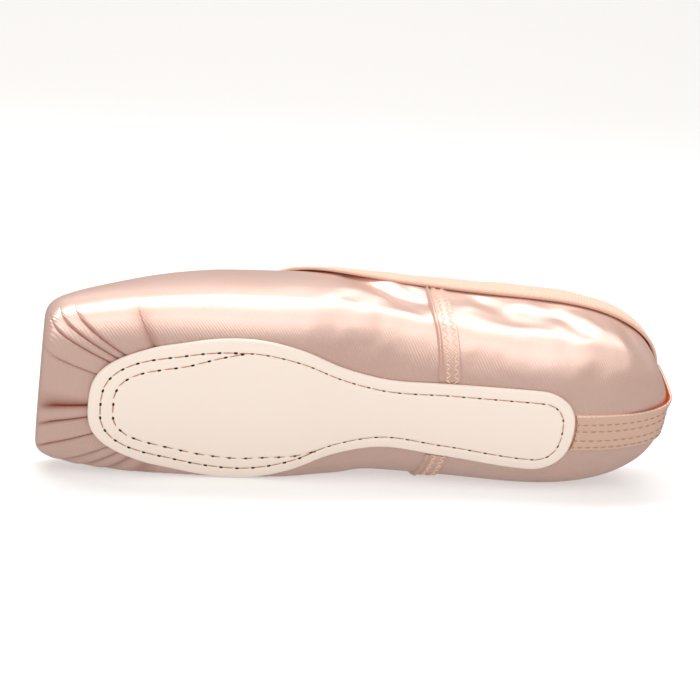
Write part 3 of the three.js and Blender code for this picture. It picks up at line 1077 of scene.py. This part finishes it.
@dataclass
class StitchRow:
    """A row of stitches, or of dark patches, each the painted shade of a stitch hole, that a node tree
    sets along paths at an even spacing.
    """

    name: str
    spacing: float
    length: float
    width: float
    height: float
    lean: float = 0.0
    sink: float = 0.0

    TREE = "stitch_row"
    SIZES = ("Spacing", "Length", "Width", "Height", "Lean", "Sink")
    SEGMENTS = 8
    RINGS = 6

    def tree(self) -> bpy.types.NodeTree:
        """The node tree that all rows share.

        Returns:
            The tree, with the row's sizes as named inputs.
        """
        made = bpy.data.node_groups.get(self.TREE)
        if made:
            return made
        made = bpy.data.node_groups.new(self.TREE, "GeometryNodeTree")
        made.interface.new_socket("Geometry", in_out="INPUT", socket_type="NodeSocketGeometry")
        for size in self.SIZES:
            made.interface.new_socket(size, in_out="INPUT", socket_type="NodeSocketFloat")
        made.interface.new_socket("Material", in_out="INPUT", socket_type="NodeSocketMaterial")
        made.interface.new_socket("Geometry", in_out="OUTPUT", socket_type="NodeSocketGeometry")
        canvas = Canvas(made)
        paths, spacing, length, width, height, lean, sink, finish = canvas.node("NodeGroupInput")[:8]
        curve = canvas.node("GeometryNodeMeshToCurve", {}, {0: paths})[0]
        spots = canvas.node("GeometryNodeResampleCurve", {"mode": "LENGTH"}, {
            "Curve": curve, "Length": spacing,
        })[0]
        up = canvas.node("GeometryNodeInputNamedAttribute", {"data_type": "FLOAT_VECTOR"}, {
            "Name": "up",
        })[0]
        along = canvas.node("GeometryNodeInputTangent")[0]
        aimed = canvas.node("FunctionNodeAlignRotationToVector", {"axis": "X"}, {"Vector": along})[0]
        aimed = canvas.node("FunctionNodeAlignRotationToVector", {"axis": "Z", "pivot_axis": "X"}, {
            "Rotation": aimed, "Vector": up,
        })[0]
        index = canvas.node("GeometryNodeInputIndex")[0]
        swing = lean * (1 - index % 2 * 2)
        swung = canvas.node("FunctionNodeAxisAngleToRotation", {}, {
            "Axis": (0, 0, 1), "Angle": swing,
        })[0]
        aimed = canvas.node("FunctionNodeRotateRotation", {"rotation_space": "LOCAL"}, {
            "Rotation": aimed, "Rotate By": swung,
        })[0]
        depth = canvas.node("ShaderNodeVectorMath", {"operation": "SCALE"}, {
            0: up, "Scale": sink * -1,
        })[0]
        spots = canvas.node("GeometryNodeSetPosition", {}, {"Geometry": spots, "Offset": depth})[0]
        stitch = canvas.node("GeometryNodeMeshUVSphere", {}, {
            "Segments": self.SEGMENTS, "Rings": self.RINGS, "Radius": 0.5,
        })[0]
        size = canvas.node("ShaderNodeCombineXYZ", {}, {"X": length, "Y": width, "Z": height})[0]
        row = canvas.node("GeometryNodeInstanceOnPoints", {}, {
            "Points": spots, "Instance": stitch, "Rotation": aimed, "Scale": size,
        })[0]
        solid = canvas.node("GeometryNodeRealizeInstances", {}, {"Geometry": row})[0]
        solid = canvas.node("GeometryNodeSetShadeSmooth", {}, {"Geometry": solid})[0]
        solid = canvas.node("GeometryNodeSetMaterial", {}, {"Geometry": solid, "Material": finish})[0]
        canvas.node("NodeGroupOutput", {}, {0: solid})
        return made

    def sew(self, paths: Sequence[SewnLine], rest: Resting, finish: Finish) -> bpy.types.Object:
        """Sets the row along its paths.

        Args:
            paths: lines in the shoe's own frame.
            rest: how the shoe lies.
            finish: what the stitches are made of.

        Returns:
            One plain mesh object.
        """
        points, ways, edges = [], [], []
        for path in paths:
            start = len(points)
            count = len(path.points)
            points += rest.row(path.points).tolist()
            ways += rest.row_way(path.ways).tolist()
            edges += [(start + k, start + k + 1) for k in range(count - 1)]
            if path.closed:
                edges.append((start + count - 1, start))
        mesh = bpy.data.meshes.new(f"{self.name}_path")
        mesh.from_pydata(points, edges, [])
        mark = mesh.attributes.new("up", "FLOAT_VECTOR", "POINT")
        mark.data.foreach_set("vector", np.array(ways).reshape(-1))
        made = bpy.data.objects.new(self.name, mesh)
        bpy.context.scene.collection.objects.link(made)
        tree = self.tree()
        modifier = made.modifiers.new("stitches", "NODES")
        modifier.node_group = tree
        sizes = (self.spacing, self.length, self.width, self.height, self.lean / MM, self.sink)
        values = {name: value * MM for name, value in zip(self.SIZES, sizes)}
        values["Material"] = finish.material()
        for item in tree.interface.items_tree:
            if item.in_out == "INPUT" and item.name in values:
                modifier[item.identifier] = values[item.name]
        ready = made.evaluated_get(bpy.context.evaluated_depsgraph_get())
        sewn = bpy.data.meshes.new_from_object(ready)
        made.modifiers.clear()
        made.data = sewn
        return made


def slab(name: str, under: Array, over: Array, rest: Resting, finish: Finish) -> bpy.types.Object:
    """Closes a flat piece's two faces, which meet along its rim.

    Args:
        name: the piece's name.
        under, over: its faces, each from the rim inwards.
        rest: how the shoe lies.
        finish: what it is made of.

    Returns:
        The object.
    """
    points = np.concatenate((under[:, ::-1], over), axis=1)
    uv = points[..., :2] * UV_PER_MM
    return Sheetwork(name, rest.row(points), uv, {}, (finish.material(),)).piece()


@dataclass
class Outsole:
    """The leather outsole: crowned, pared at its edge, with a stitched channel."""

    form: ShoeForm
    rest: Resting
    margin: float = 3.8
    thick: float = 1.5
    edge_thick: float = 1.1
    edge_round: float = 0.9
    crown_past_margin: float = 5.0
    channel_inset: float = 4.1
    channel_depth: float = 0.28
    channel_width: float = 0.55
    inner_row: float = 4.4
    left_merge: float = 149.0
    right_merge: float = 120.0
    merge_run: float = 28.0
    second_from: float = 0.6
    hole_spacing: float = 5.7
    path_step: float = 0.5
    path_lines: int = 900
    path_lean: float = 0.02
    lines: tuple[int, int, int] = (40, 130, 50)
    rim_insets: tuple[float, ...] = (0.0, 0.08, 0.25, 0.5, 0.9, 1.5)
    channel_insets: tuple[float, float, float] = (2.1, 10.2, 0.32)
    field_insets: tuple[float, float] = (10.6, 32.0)
    field_rows: int = 22

    def second_inset(self, x: Array, side: Array) -> Array:
        """How far inside the edge the second row of stitches lies.

        Args:
            x: along the shoe.
            side: 1 on the left, -1 on the right.

        Returns:
            The inset, which is the first row's own behind the ball.
        """
        merge = np.where(side > 0, self.left_merge, self.right_merge)
        return self.channel_inset + self.inner_row * smoothstep(x - merge, 0, self.merge_run)

    def under_grow(self, inset: Array) -> Array:
        """How far the sole's underside stands off the form.

        Args:
            inset: distance from the sole's edge.

        Returns:
            The distance at each inset.
        """
        rounded = rounded_edge(inset, self.edge_round)
        crown = smoothstep(inset, 0, self.margin + self.crown_past_margin)
        body = self.edge_thick * rounded + (self.thick - self.edge_thick) * crown
        return self.form.wall + self.form.gap + body

    def surface(self, p: Array, inset: Array, side: Array) -> tuple[Array, Array, Array]:
        """Places on the sole's underside.

        Args:
            p: station numbers.
            inset: distance from the sole's edge.
            side: 1 on the left, -1 on the right.

        Returns:
            Points, v and how far they stand off the form.
        """
        v = self.form.inset_v(p, inset, self.margin)
        grow = self.under_grow(inset)
        plain = self.form.skin(p, v, side, grow)
        second = self.second_inset(plain[..., 0], side)
        for row in (self.channel_inset, second):
            grow = grow - self.channel_depth * bell(inset - row, self.channel_width) * (v > -1)
        return self.rest.flatten(self.form.skin(p, v, side, grow), 0.0), v, grow

    def build(self) -> bpy.types.Object:
        """Makes the sole.

        Returns:
            The object.
        """
        ring = Around.even(*self.lines)
        inset = np.concatenate((
            self.rim_insets, np.arange(*self.channel_insets),
            np.linspace(*self.field_insets, self.field_rows),
        ))[None, :]
        p, inset, side = np.broadcast_arrays(ring.p, inset, ring.side)
        under, v, _ = self.surface(p, inset, side)
        over = self.form.skin(p, v, side, self.form.wall + self.form.gap)
        over = self.rest.flatten(over, 0.0)
        return slab("outsole_leather", under, over, self.rest, SOLE_LEATHER)

    def stitch_paths(self) -> list[SewnLine]:
        """The two rows of stitches, the second only round the forefoot.

        Returns:
            The first row, closed, and the second, open.
        """
        fine = np.linspace(0, 3, self.path_lines)
        ring = Around.of(fine, fine)
        paths = []
        for second in (False, True):
            plain = self.form.skin(ring.p, 0 * ring.p, ring.side, 0.0)
            inset = self.channel_inset + 0 * ring.p
            if second:
                inset = self.second_inset(plain[..., 0], ring.side)
            points, v, grow = self.surface(ring.p, inset, ring.side)
            ways = self.form.outward(ring.p, v - self.path_lean, ring.side, grow)
            chosen = (inset > self.channel_inset + self.second_from)[:, 0] if second else slice(None)
            paths.append(SewnLine(points[chosen, 0], ways[chosen, 0], not second))
        return paths

    def dress(self) -> list[bpy.types.Object]:
        """Sews the sole: dark patches of painted shade where each stitch hole is, with thread between
        them.

        Returns:
            The painted hole shades and the thread.
        """
        gap = self.hole_spacing
        # Painted shade: dark patches that stand for the shade inside each stitch hole of the sole
        hole_shades = StitchRow("sole_painted_hole_shade", gap, length=1.7, width=1.55, height=0.36, sink=0.02)
        thread = StitchRow("sole_thread", gap, length=4.9, width=0.6, height=0.4, sink=0.04)
        paths = [path.resampled(self.path_step) for path in self.stitch_paths()]
        halfway = int(gap / 2 / self.path_step)
        between = [path.later(halfway) for path in paths]
        return [
            hole_shades.sew(paths, self.rest, PAINTED_HOLE_SHADE),
            thread.sew(between, self.rest, SOLE_THREAD),
        ]


@dataclass
class Insole:
    """The cotton-covered insole inside the shoe."""

    form: ShoeForm
    rest: Resting
    margin: float = 8.0
    thick: float = 1.5
    edge_round: float = 1.0
    edge_share: float = 0.3
    lines: tuple[int, int, int] = (24, 60, 30)
    rim_insets: tuple[float, ...] = (0.0, 0.2, 0.7, 1.5)
    field_insets: tuple[float, float] = (2.5, 40.0)
    field_rows: int = 26

    def build(self) -> bpy.types.Object:
        """Makes the insole.

        Returns:
            The object.
        """
        ring = Around.even(*self.lines)
        field = np.linspace(*self.field_insets, self.field_rows)
        inset = np.concatenate((self.rim_insets, field))[None, :]
        p, inset, side = np.broadcast_arrays(ring.p, inset, ring.side)
        v = self.form.inset_v(p, inset, self.margin)
        thick = self.thick * mix(self.edge_share, 1, rounded_edge(inset, self.edge_round))
        wall = self.form.wall + self.form.gap
        under = self.rest.flatten(self.form.skin(p, v, side, -self.form.gap), wall)
        over = self.form.skin(p, v, side, -self.form.gap - thick)
        over = self.rest.flatten(over, wall + self.thick / 2)
        return slab("insole_cotton", under, over, self.rest, BOARD)


@dataclass
class CollarTape:
    """The folded, ribbed tape round the collar."""

    form: ShoeForm
    rest: Resting
    outside: float = 8.5
    inside: float = 7.0
    thick: float = 0.9
    headroom: float = 1.3
    clear: float = 0.55
    narrow: float = 0.5
    narrow_from: float = 0.6
    rib_pitch: float = 1.05
    rib_height: float = 0.2
    rib_lines: int = 5
    ripple: float = 0.35
    ripple_run: float = 21.0
    ripple_end: float = 0.1
    bend_points: int = 7
    outside_points: int = 6
    inside_points: int = 5
    back_points: int = 4
    throat_share: float = 0.14
    throat_power: float = 2.5
    side_steps: int = 600
    throat_steps: int = 900
    stitch_inset: float = 1.2
    stitch_rise: float = 0.1
    path_step: float = 0.8

    def profile(self) -> tuple[Array, Array, Array]:
        """The tape's section, once round.

        Returns:
            How far below the collar each point lies, how far it stands off the form, and how much
            of the ribs it shows.
        """
        out, inn = self.form.wall + self.clear, -self.form.gap
        bend = np.linspace(0, math.pi, self.bend_points)
        middle, reach = (out + inn) / 2, (out - inn) / 2 + self.thick
        outer = [(self.outside, out, 0.0)]
        outer += [(d, out + self.thick, 1.0) for d in np.linspace(self.outside, 0, self.outside_points)]
        over = [(-math.sin(b) * (self.headroom + self.thick), middle + reach * math.cos(b), 1.0)
                for b in bend[1:-1]]
        inner = [(d, inn - self.thick, 1.0) for d in np.linspace(0, self.inside, self.inside_points)]
        back = [(d, inn, 0.0) for d in np.linspace(self.inside, 0, self.back_points)]
        back += [(-self.headroom, inn, 0.0), (-self.headroom, out, 0.0), (self.outside / 2, out, 0.0)]
        rows = outer + over + inner + back + outer[:1]
        drop, grow, ribbed = np.array(rows).T
        return drop, grow, ribbed

    def lines(self) -> tuple[Array, Array]:
        """Places along the tape from heel to throat, evenly spaced, several to each rib.

        Returns:
            The share of the way to the throat, and the length along the tape.
        """
        far = np.linspace(0, 1 - self.throat_share, self.side_steps)
        near = np.linspace(1, 0, self.throat_steps)[1:] ** self.throat_power
        steps = np.concatenate((far, 1 - self.throat_share * near))
        p = steps * self.form.throat_station(0.0)
        v = np.where(steps == 1, 2, self.form.collar_v(p, 0.0))
        along = arc_lengths(self.form.skin(p, v, 1, self.form.wall)[:, None], 0)[:, 0]
        even = np.linspace(0, along[-1], int(along[-1] / self.rib_pitch) * self.rib_lines + 1)
        return np.interp(even, along, steps), even

    def sections(self, s: Array, along: Array, side: Side) -> Array:
        """The tape's section at each place along one side.

        Args:
            s: shares of the way to the throat.
            along: length along the tape.
            side: which side.

        Returns:
            The grid of points.
        """
        drop, grow, ribbed = self.profile()
        rib = self.rib_height * (0.5 + 0.5 * np.cos(2 * math.pi * along / self.rib_pitch))
        wave = np.sin(2 * math.pi * along / self.ripple_run + side.value)
        wave = self.ripple * wave * smoothstep(1 - s, 0.0, self.ripple_end)
        columns = []
        for d, g, r in zip(drop, grow, ribbed):
            narrow = self.narrow if d > 0 else 0.0
            p = s * self.form.throat_station(d * (1 - narrow))
            narrowed = d * (1 - narrow * smoothstep(s, self.narrow_from, 1.0))
            v = np.where(s >= 1, 2, self.form.collar_v(p, narrowed + wave * (d < self.outside)))
            outward = 1 if g > 0 else -1
            columns.append(self.form.skin(p, v, side.value, g + outward * rib * r))
        return np.stack(columns, axis=1)

    def build(self) -> bpy.types.Object:
        """Makes the tape.

        Returns:
            The object.
        """
        s, along = self.lines()
        left = self.sections(s, along, Side.LEFT)
        right = self.sections(s, along, Side.RIGHT)
        points = np.concatenate((left, right[::-1][1:]))
        uv = cloth_map(points)
        return Sheetwork(
            "collar_tape", self.rest.row(points), uv, {}, (TAPE.material(),),
        ).piece()

    def dress(self) -> bpy.types.Object:
        """Sews the tape down along its lower edge.

        Returns:
            The stitches.
        """
        s, _ = self.lines()
        sewn = self.outside - self.stitch_inset
        drop = sewn * (1 - self.narrow * smoothstep(s, self.narrow_from, 1.0))
        p = s * self.form.throat_station(sewn * (1 - self.narrow))
        v = np.where(s >= 1, 2, self.form.collar_v(p, drop))
        grow = self.form.wall + self.clear + self.thick + self.stitch_rise
        paths = []
        for side in Side:
            points = self.form.skin(p, v, side.value, grow)
            ways = self.form.outward(p, v, side.value, grow)
            paths.append(SewnLine(points, ways).resampled(self.path_step))
        row = StitchRow("tape_stitching", spacing=2.6, length=2.0, width=0.4, height=0.36)
        return row.sew(paths, self.rest, THREAD)


@dataclass
class SideSeam:
    """A raised side seam: a flat band with a piped edge, sewn with two zigzag rows."""

    form: ShoeForm
    rest: Resting
    side: Side
    width: float = 8.0
    thick: float = 0.6
    piping: float = 0.75
    foot_x: float = 81.0
    head_x: float = 85.0
    sole_margin: float = 3.8
    past_sole: float = 0.8
    below_tape: float = 8.6
    rows: int = 70
    columns: int = 33
    edge_round: float = 0.08
    piping_at: float = 0.8
    piping_spread: float = 0.13
    groove: float = 0.25
    groove_at: float = 0.52
    groove_spread: float = 0.07
    stand_off: float = 0.05
    sunk: float = 0.6
    outer_clear: float = 0.05
    inner_clear: float = 0.9
    sewn_at: tuple[float, ...] = (0.18, -0.55)
    stitch_rise: float = 0.1
    path_step: float = 0.6

    def places(self, across: Array) -> tuple[Array, Array]:
        """Places on the band.

        Args:
            across: -1 at the heel edge to 1 at the toe edge.

        Returns:
            Station numbers and v, a line for each value of across.
        """
        foot = self.form.side_station(np.array(self.foot_x))
        head = self.form.side_station(np.array(self.head_x))
        half = self.width / 2 / (self.form.toe_axis - self.form.heel_axis)
        start = self.form.inset_v(foot[None], np.array((0.0,)), self.sole_margin + self.past_sole)[0]
        end = self.form.collar_v(head[None], self.below_tape)[0]
        t = np.linspace(0, 1, self.rows)
        p = mix(foot, head, t)[None, :] + across[:, None] * half
        return p, np.broadcast_to(mix(start, end, t)[None, :], p.shape)

    def build(self) -> bpy.types.Object:
        """Makes the band.

        Returns:
            The object.
        """
        across = np.linspace(-1, 1, self.columns)
        p, v = self.places(across)
        band = self.thick * rounded_edge(1 - np.abs(across), self.edge_round)
        pipe = self.piping * bell(across - self.piping_at, self.piping_spread)
        groove = self.groove * bell(across - self.groove_at, self.groove_spread)
        height = (band + pipe - groove)[:, None]
        low = self.form.wall + self.stand_off
        outer = self.form.skin(p, v, self.side.value, low + height)
        outer = self.rest.flatten(outer, self.outer_clear)
        inner = self.form.skin(p, v, self.side.value, low - self.sunk)
        inner = self.rest.flatten(inner, self.inner_clear)
        points = band_loop(outer, inner)
        maps = cloth_map(points)
        marks = {"fold": np.zeros(points.shape[:2]), "slack": np.zeros(points.shape[:2])}
        name = f"side_seam_{self.side.name.lower()}_band"
        return Sheetwork(name, self.rest.row(points), maps, marks, (SATIN.material(),)).piece()

    def zigzags(self) -> list[SewnLine]:
        """The two rows that the seam is sewn with.

        Returns:
            Their middle lines.
        """
        paths = []
        grow = self.form.wall + self.thick + self.stitch_rise
        for across in self.sewn_at:
            p, v = self.places(np.array((across,)))
            points = self.rest.flatten(self.form.skin(p, v, self.side.value, grow), self.outer_clear)
            ways = self.form.outward(p, v, self.side.value, grow)
            paths.append(SewnLine(points[0], ways[0]).resampled(self.path_step))
        return paths


@dataclass
class BackStrip:
    """The strip over the heel seam, sewn with four rows, with one edge standing off a little."""

    form: ShoeForm
    rest: Resting
    width: float = 15.0
    thick: float = 0.9
    lift: float = 1.3
    lift_across: tuple[float, float] = (0.35, 1.0)
    lift_rise: tuple[float, float] = (0.25, 0.8)
    lift_fall: tuple[float, float] = (1.15, 1.4)
    sole_margin: float = 3.8
    past_sole: float = 0.8
    below_tape: float = 8.6
    rows: int = 90
    columns: int = 41
    search_steps: int = 400
    edge_round: float = 0.06
    stand_off: float = 0.1
    tuck: float = 0.4
    tuck_run: float = 0.3
    dimple: float = 0.16
    dimple_spread: float = 0.05
    sewn_at: tuple[float, ...] = (-0.78, -0.4, 0.12, 0.5)
    stitch_rise: float = 0.06
    path_step: float = 0.8

    def places(self, across: Array) -> tuple[Array, Array, Array]:
        """Places on the strip.

        Args:
            across: -1 at the right edge to 1 at the left edge.

        Returns:
            Station numbers, v and side, a line for each value of across.
        """
        zero = np.array((0.0,))
        start = self.form.inset_v(zero, zero, self.sole_margin + self.past_sole)[0]
        end = self.form.collar_v(zero, self.below_tape)[0]
        v = np.linspace(start, end, self.rows)
        fine = np.linspace(0, 1, self.search_steps)
        reach = self.form.skin(fine[:, None], v[None, :], 1, self.form.wall)[..., 1]
        away = np.abs(across) * self.width / 2
        p = np.stack([np.interp(away, reach[:, k], fine) for k in range(len(v))], axis=1)
        side = np.broadcast_to(np.where(across < 0, -1.0, 1.0)[:, None], p.shape)
        return p, np.broadcast_to(v[None, :], p.shape), side

    def standing(self, across: Array, v: Array) -> Array:
        """How far the strip's left edge stands off.

        Args:
            across: -1 at the right edge to 1 at the left edge.
            v: up the heel.

        Returns:
            The distance.
        """
        edge = smoothstep(across[:, None], *self.lift_across)
        rise = smoothstep(v, *self.lift_rise)
        return self.lift * edge * rise * (1 - smoothstep(v, *self.lift_fall))

    def build(self) -> bpy.types.Object:
        """Makes the strip.

        Returns:
            The object.
        """
        across = np.linspace(-1, 1, self.columns)
        p, v, side = self.places(across)
        off = self.standing(across, v)
        low = self.form.wall + self.stand_off
        height = self.thick * rounded_edge(1 - np.abs(across), self.edge_round)
        for row in self.sewn_at:
            height = height - self.dimple * bell(across - row, self.dimple_spread)
        tuck = self.tuck * (1 - smoothstep(off, 0, self.tuck_run))
        outer = self.form.skin(p, v, side, low + off + height[:, None])
        inner = self.form.skin(p, v, side, low + off - tuck)
        points = band_loop(outer, inner)
        # Painted orange glow: the strip's underside gets the strip satin's fold colour, for the light in
        # the shaded gap under its standing edge
        warm = np.zeros(points.shape[:2])
        warm[:, self.rows:-1] = 1.0
        marks = {"fold": warm, "slack": np.ones(points.shape[:2])}
        return Sheetwork(
            "back_strip_band", self.rest.row(points), cloth_map(points), marks, (STRIP_SATIN.material(),),
        ).piece()

    def dress(self) -> bpy.types.Object:
        """Sews the strip.

        Returns:
            The stitches.
        """
        paths = []
        for row in self.sewn_at:
            across = np.array((row,))
            p, v, side = self.places(across)
            grow = self.form.wall + self.thick + self.stitch_rise + self.standing(across, v)
            points = self.form.skin(p, v, side, grow)
            ways = self.form.outward(p, v, side, grow)
            paths.append(SewnLine(points[0], ways[0]).resampled(self.path_step))
        row = StitchRow("strip_stitching", spacing=3.0, length=2.1, width=0.46, height=0.36)
        return row.sew(paths, self.rest, STRIP_THREAD)


@dataclass(frozen=True)
class SoftBox:
    """An area light: its name, its place and size in metres, and its power in watts."""

    name: str
    place: tuple[float, float, float]
    size: tuple[float, float]
    power: float


SOFT_BOXES = (
    SoftBox("top_box", (-0.1, 0.30, 1.15), (1.5, 0.20), 9.0),
    SoftBox("front_box", (-0.3, -1.6, 0.7), (2.4, 1.2), 7.0),
    SoftBox("over_box", (0.1, -0.85, 1.25), (2.4, 1.3), 13.0),
    SoftBox("wall_wash", (0.0, 0.4, 2.2), (3.0, 1.0), 18.0),
)


@dataclass
class Studio:
    """The pale floor with its cove, the lights and the air."""

    floor_drop: float = 0.0002
    floor_half: float = 3.0
    cove_start: float = 1.2
    cove_radius: float = 0.6
    cove_height: float = 2.5
    cove_steps: int = 16
    aim_height: float = 0.035
    air_colour: Colour = (1.0, 0.92, 0.87, 1.0)
    air_strength: float = 0.3

    def floor(self) -> bpy.types.Object:
        """A floor that runs up into a wall behind.

        Returns:
            The object.
        """
        bend = np.linspace(0, QUARTER, self.cove_steps)
        run = [(-self.floor_half, 0.0)]
        run += [(self.cove_start + self.cove_radius * math.sin(b), self.cove_radius * (1 - math.cos(b)))
                for b in bend]
        run += [(self.cove_start + self.cove_radius, self.cove_height)]
        points = [(x, y, z - self.floor_drop) for x in (-self.floor_half, self.floor_half) for y, z in run]
        count = len(run)
        faces = [(k, k + count, k + count + 1, k + 1) for k in range(count - 1)]
        mesh = bpy.data.meshes.new("pale_floor")
        mesh.from_pydata(points, [], faces)
        mesh.polygons.foreach_set("use_smooth", np.ones(len(faces), bool))
        mesh.materials.append(FLOOR.material())
        made = bpy.data.objects.new("pale_floor", mesh)
        bpy.context.scene.collection.objects.link(made)
        made.visible_glossy = False
        return made

    def light(self, box: SoftBox) -> None:
        """Sets up one soft box, aimed at the shoe.

        Args:
            box: the light.
        """
        lamp = bpy.data.lights.new(box.name, "AREA")
        lamp.shape = "RECTANGLE"
        lamp.size, lamp.size_y = box.size
        lamp.energy = box.power
        made = bpy.data.objects.new(box.name, lamp)
        made.location = box.place
        aim = Vector((0, 0, self.aim_height)) - Vector(box.place)
        made.rotation_euler = aim.to_track_quat("-Z", "Y").to_euler()
        bpy.context.scene.collection.objects.link(made)

    def lights(self) -> None:
        """Soft studio light from above, from the camera's side and from behind."""
        for box in SOFT_BOXES:
            self.light(box)
        world = bpy.data.worlds.new("studio_air")
        bpy.context.scene.world = world
        world.use_nodes = True
        air = world.node_tree.nodes["Background"]
        air.inputs["Color"].default_value = self.air_colour
        air.inputs["Strength"].default_value = self.air_strength
        bpy.context.scene.view_settings.view_transform = "Standard"


@dataclass
class PhotoCamera:
    """The camera at the photograph's angle to the shoe."""

    azimuth: float = -7.0
    elevation: float = 12.0
    roll: float = 3.758
    distance: float = 0.950
    target: tuple[float, float, float] = (0.0, 0.0, 0.037)
    pixels_per_mm: float = 2.765
    target_pixel: tuple[float, float] = (355.4, 372.0)
    frame_pixels: float = 700.0
    sensor: float = 36.0
    clip: tuple[float, float] = (0.05, 50.0)

    def build(self) -> bpy.types.Object:
        """Makes the camera and sets it as the scene's own.

        Returns:
            The camera.
        """
        a, e, r = (math.radians(angle) for angle in (self.azimuth, self.elevation, self.roll))
        back = Vector((math.sin(a) * math.cos(e), -math.cos(a) * math.cos(e), math.sin(e)))
        right = Vector((math.cos(a), math.sin(a), 0))
        up = back.cross(right)
        rolled = right * math.cos(r) + up * math.sin(r)
        turn = Matrix((rolled, back.cross(rolled), back)).transposed().to_4x4()
        data = bpy.data.cameras.new("photo_camera")
        focal_pixels = self.pixels_per_mm * self.distance / MM
        data.sensor_width = self.sensor
        data.lens = focal_pixels / self.frame_pixels * self.sensor
        middle = self.frame_pixels / 2
        data.shift_x = (middle - self.target_pixel[0]) / self.frame_pixels
        data.shift_y = (self.target_pixel[1] - middle) / self.frame_pixels
        data.clip_start, data.clip_end = self.clip
        made = bpy.data.objects.new("photo_camera", data)
        made.matrix_world = Matrix.Translation(Vector(self.target) + back * self.distance) @ turn
        bpy.context.scene.collection.objects.link(made)
        bpy.context.scene.camera = made
        return made


def settle(piece: bpy.types.Object, slot: str, *nodes: str) -> None:
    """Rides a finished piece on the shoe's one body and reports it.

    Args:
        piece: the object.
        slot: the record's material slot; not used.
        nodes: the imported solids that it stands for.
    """
    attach(piece, BODY)
    if nodes:
        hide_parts(*nodes)
    log.info("%s: %d faces", piece.name, len(piece.data.polygons))


def main() -> None:
    """Builds the camera, the studio and every piece of the shoe, in order."""
    logging.basicConfig(level=logging.INFO, format="%(name)s %(message)s")
    PhotoCamera().build()
    studio = Studio()
    studio.floor()
    studio.lights()

    form = ShoeForm()
    rest = Resting(form)
    log.info("laid at %s", np.round(rest.place, 2).tolist())

    settle(Upper(form, rest).build(), "satin", "upper")
    sole = Outsole(form, rest)
    settle(sole.build(), "sole_leather", "outsole")
    for piece in sole.dress():
        settle(piece, "sole_leather")
    settle(Insole(form, rest).build(), "insole_board", "insole")
    tape = CollarTape(form, rest)
    settle(tape.build(), "collar_tape", "topline_binding")
    settle(tape.dress(), "collar_tape")
    rows = []
    for side in Side:
        seam = SideSeam(form, rest, side)
        settle(seam.build(), "satin", f"side_seam_{side.name.lower()}")
        rows += seam.zigzags()
    zigzag = StitchRow("seam_stitching", spacing=1.5, length=2.2, width=0.5, height=0.42, lean=0.9)
    settle(zigzag.sew(rows, rest, THREAD), "satin")
    strip = BackStrip(form, rest)
    settle(strip.build(), "heel_strip", "back_strip")
    settle(strip.dress(), "heel_strip")


if __name__ == "__main__":
    main()
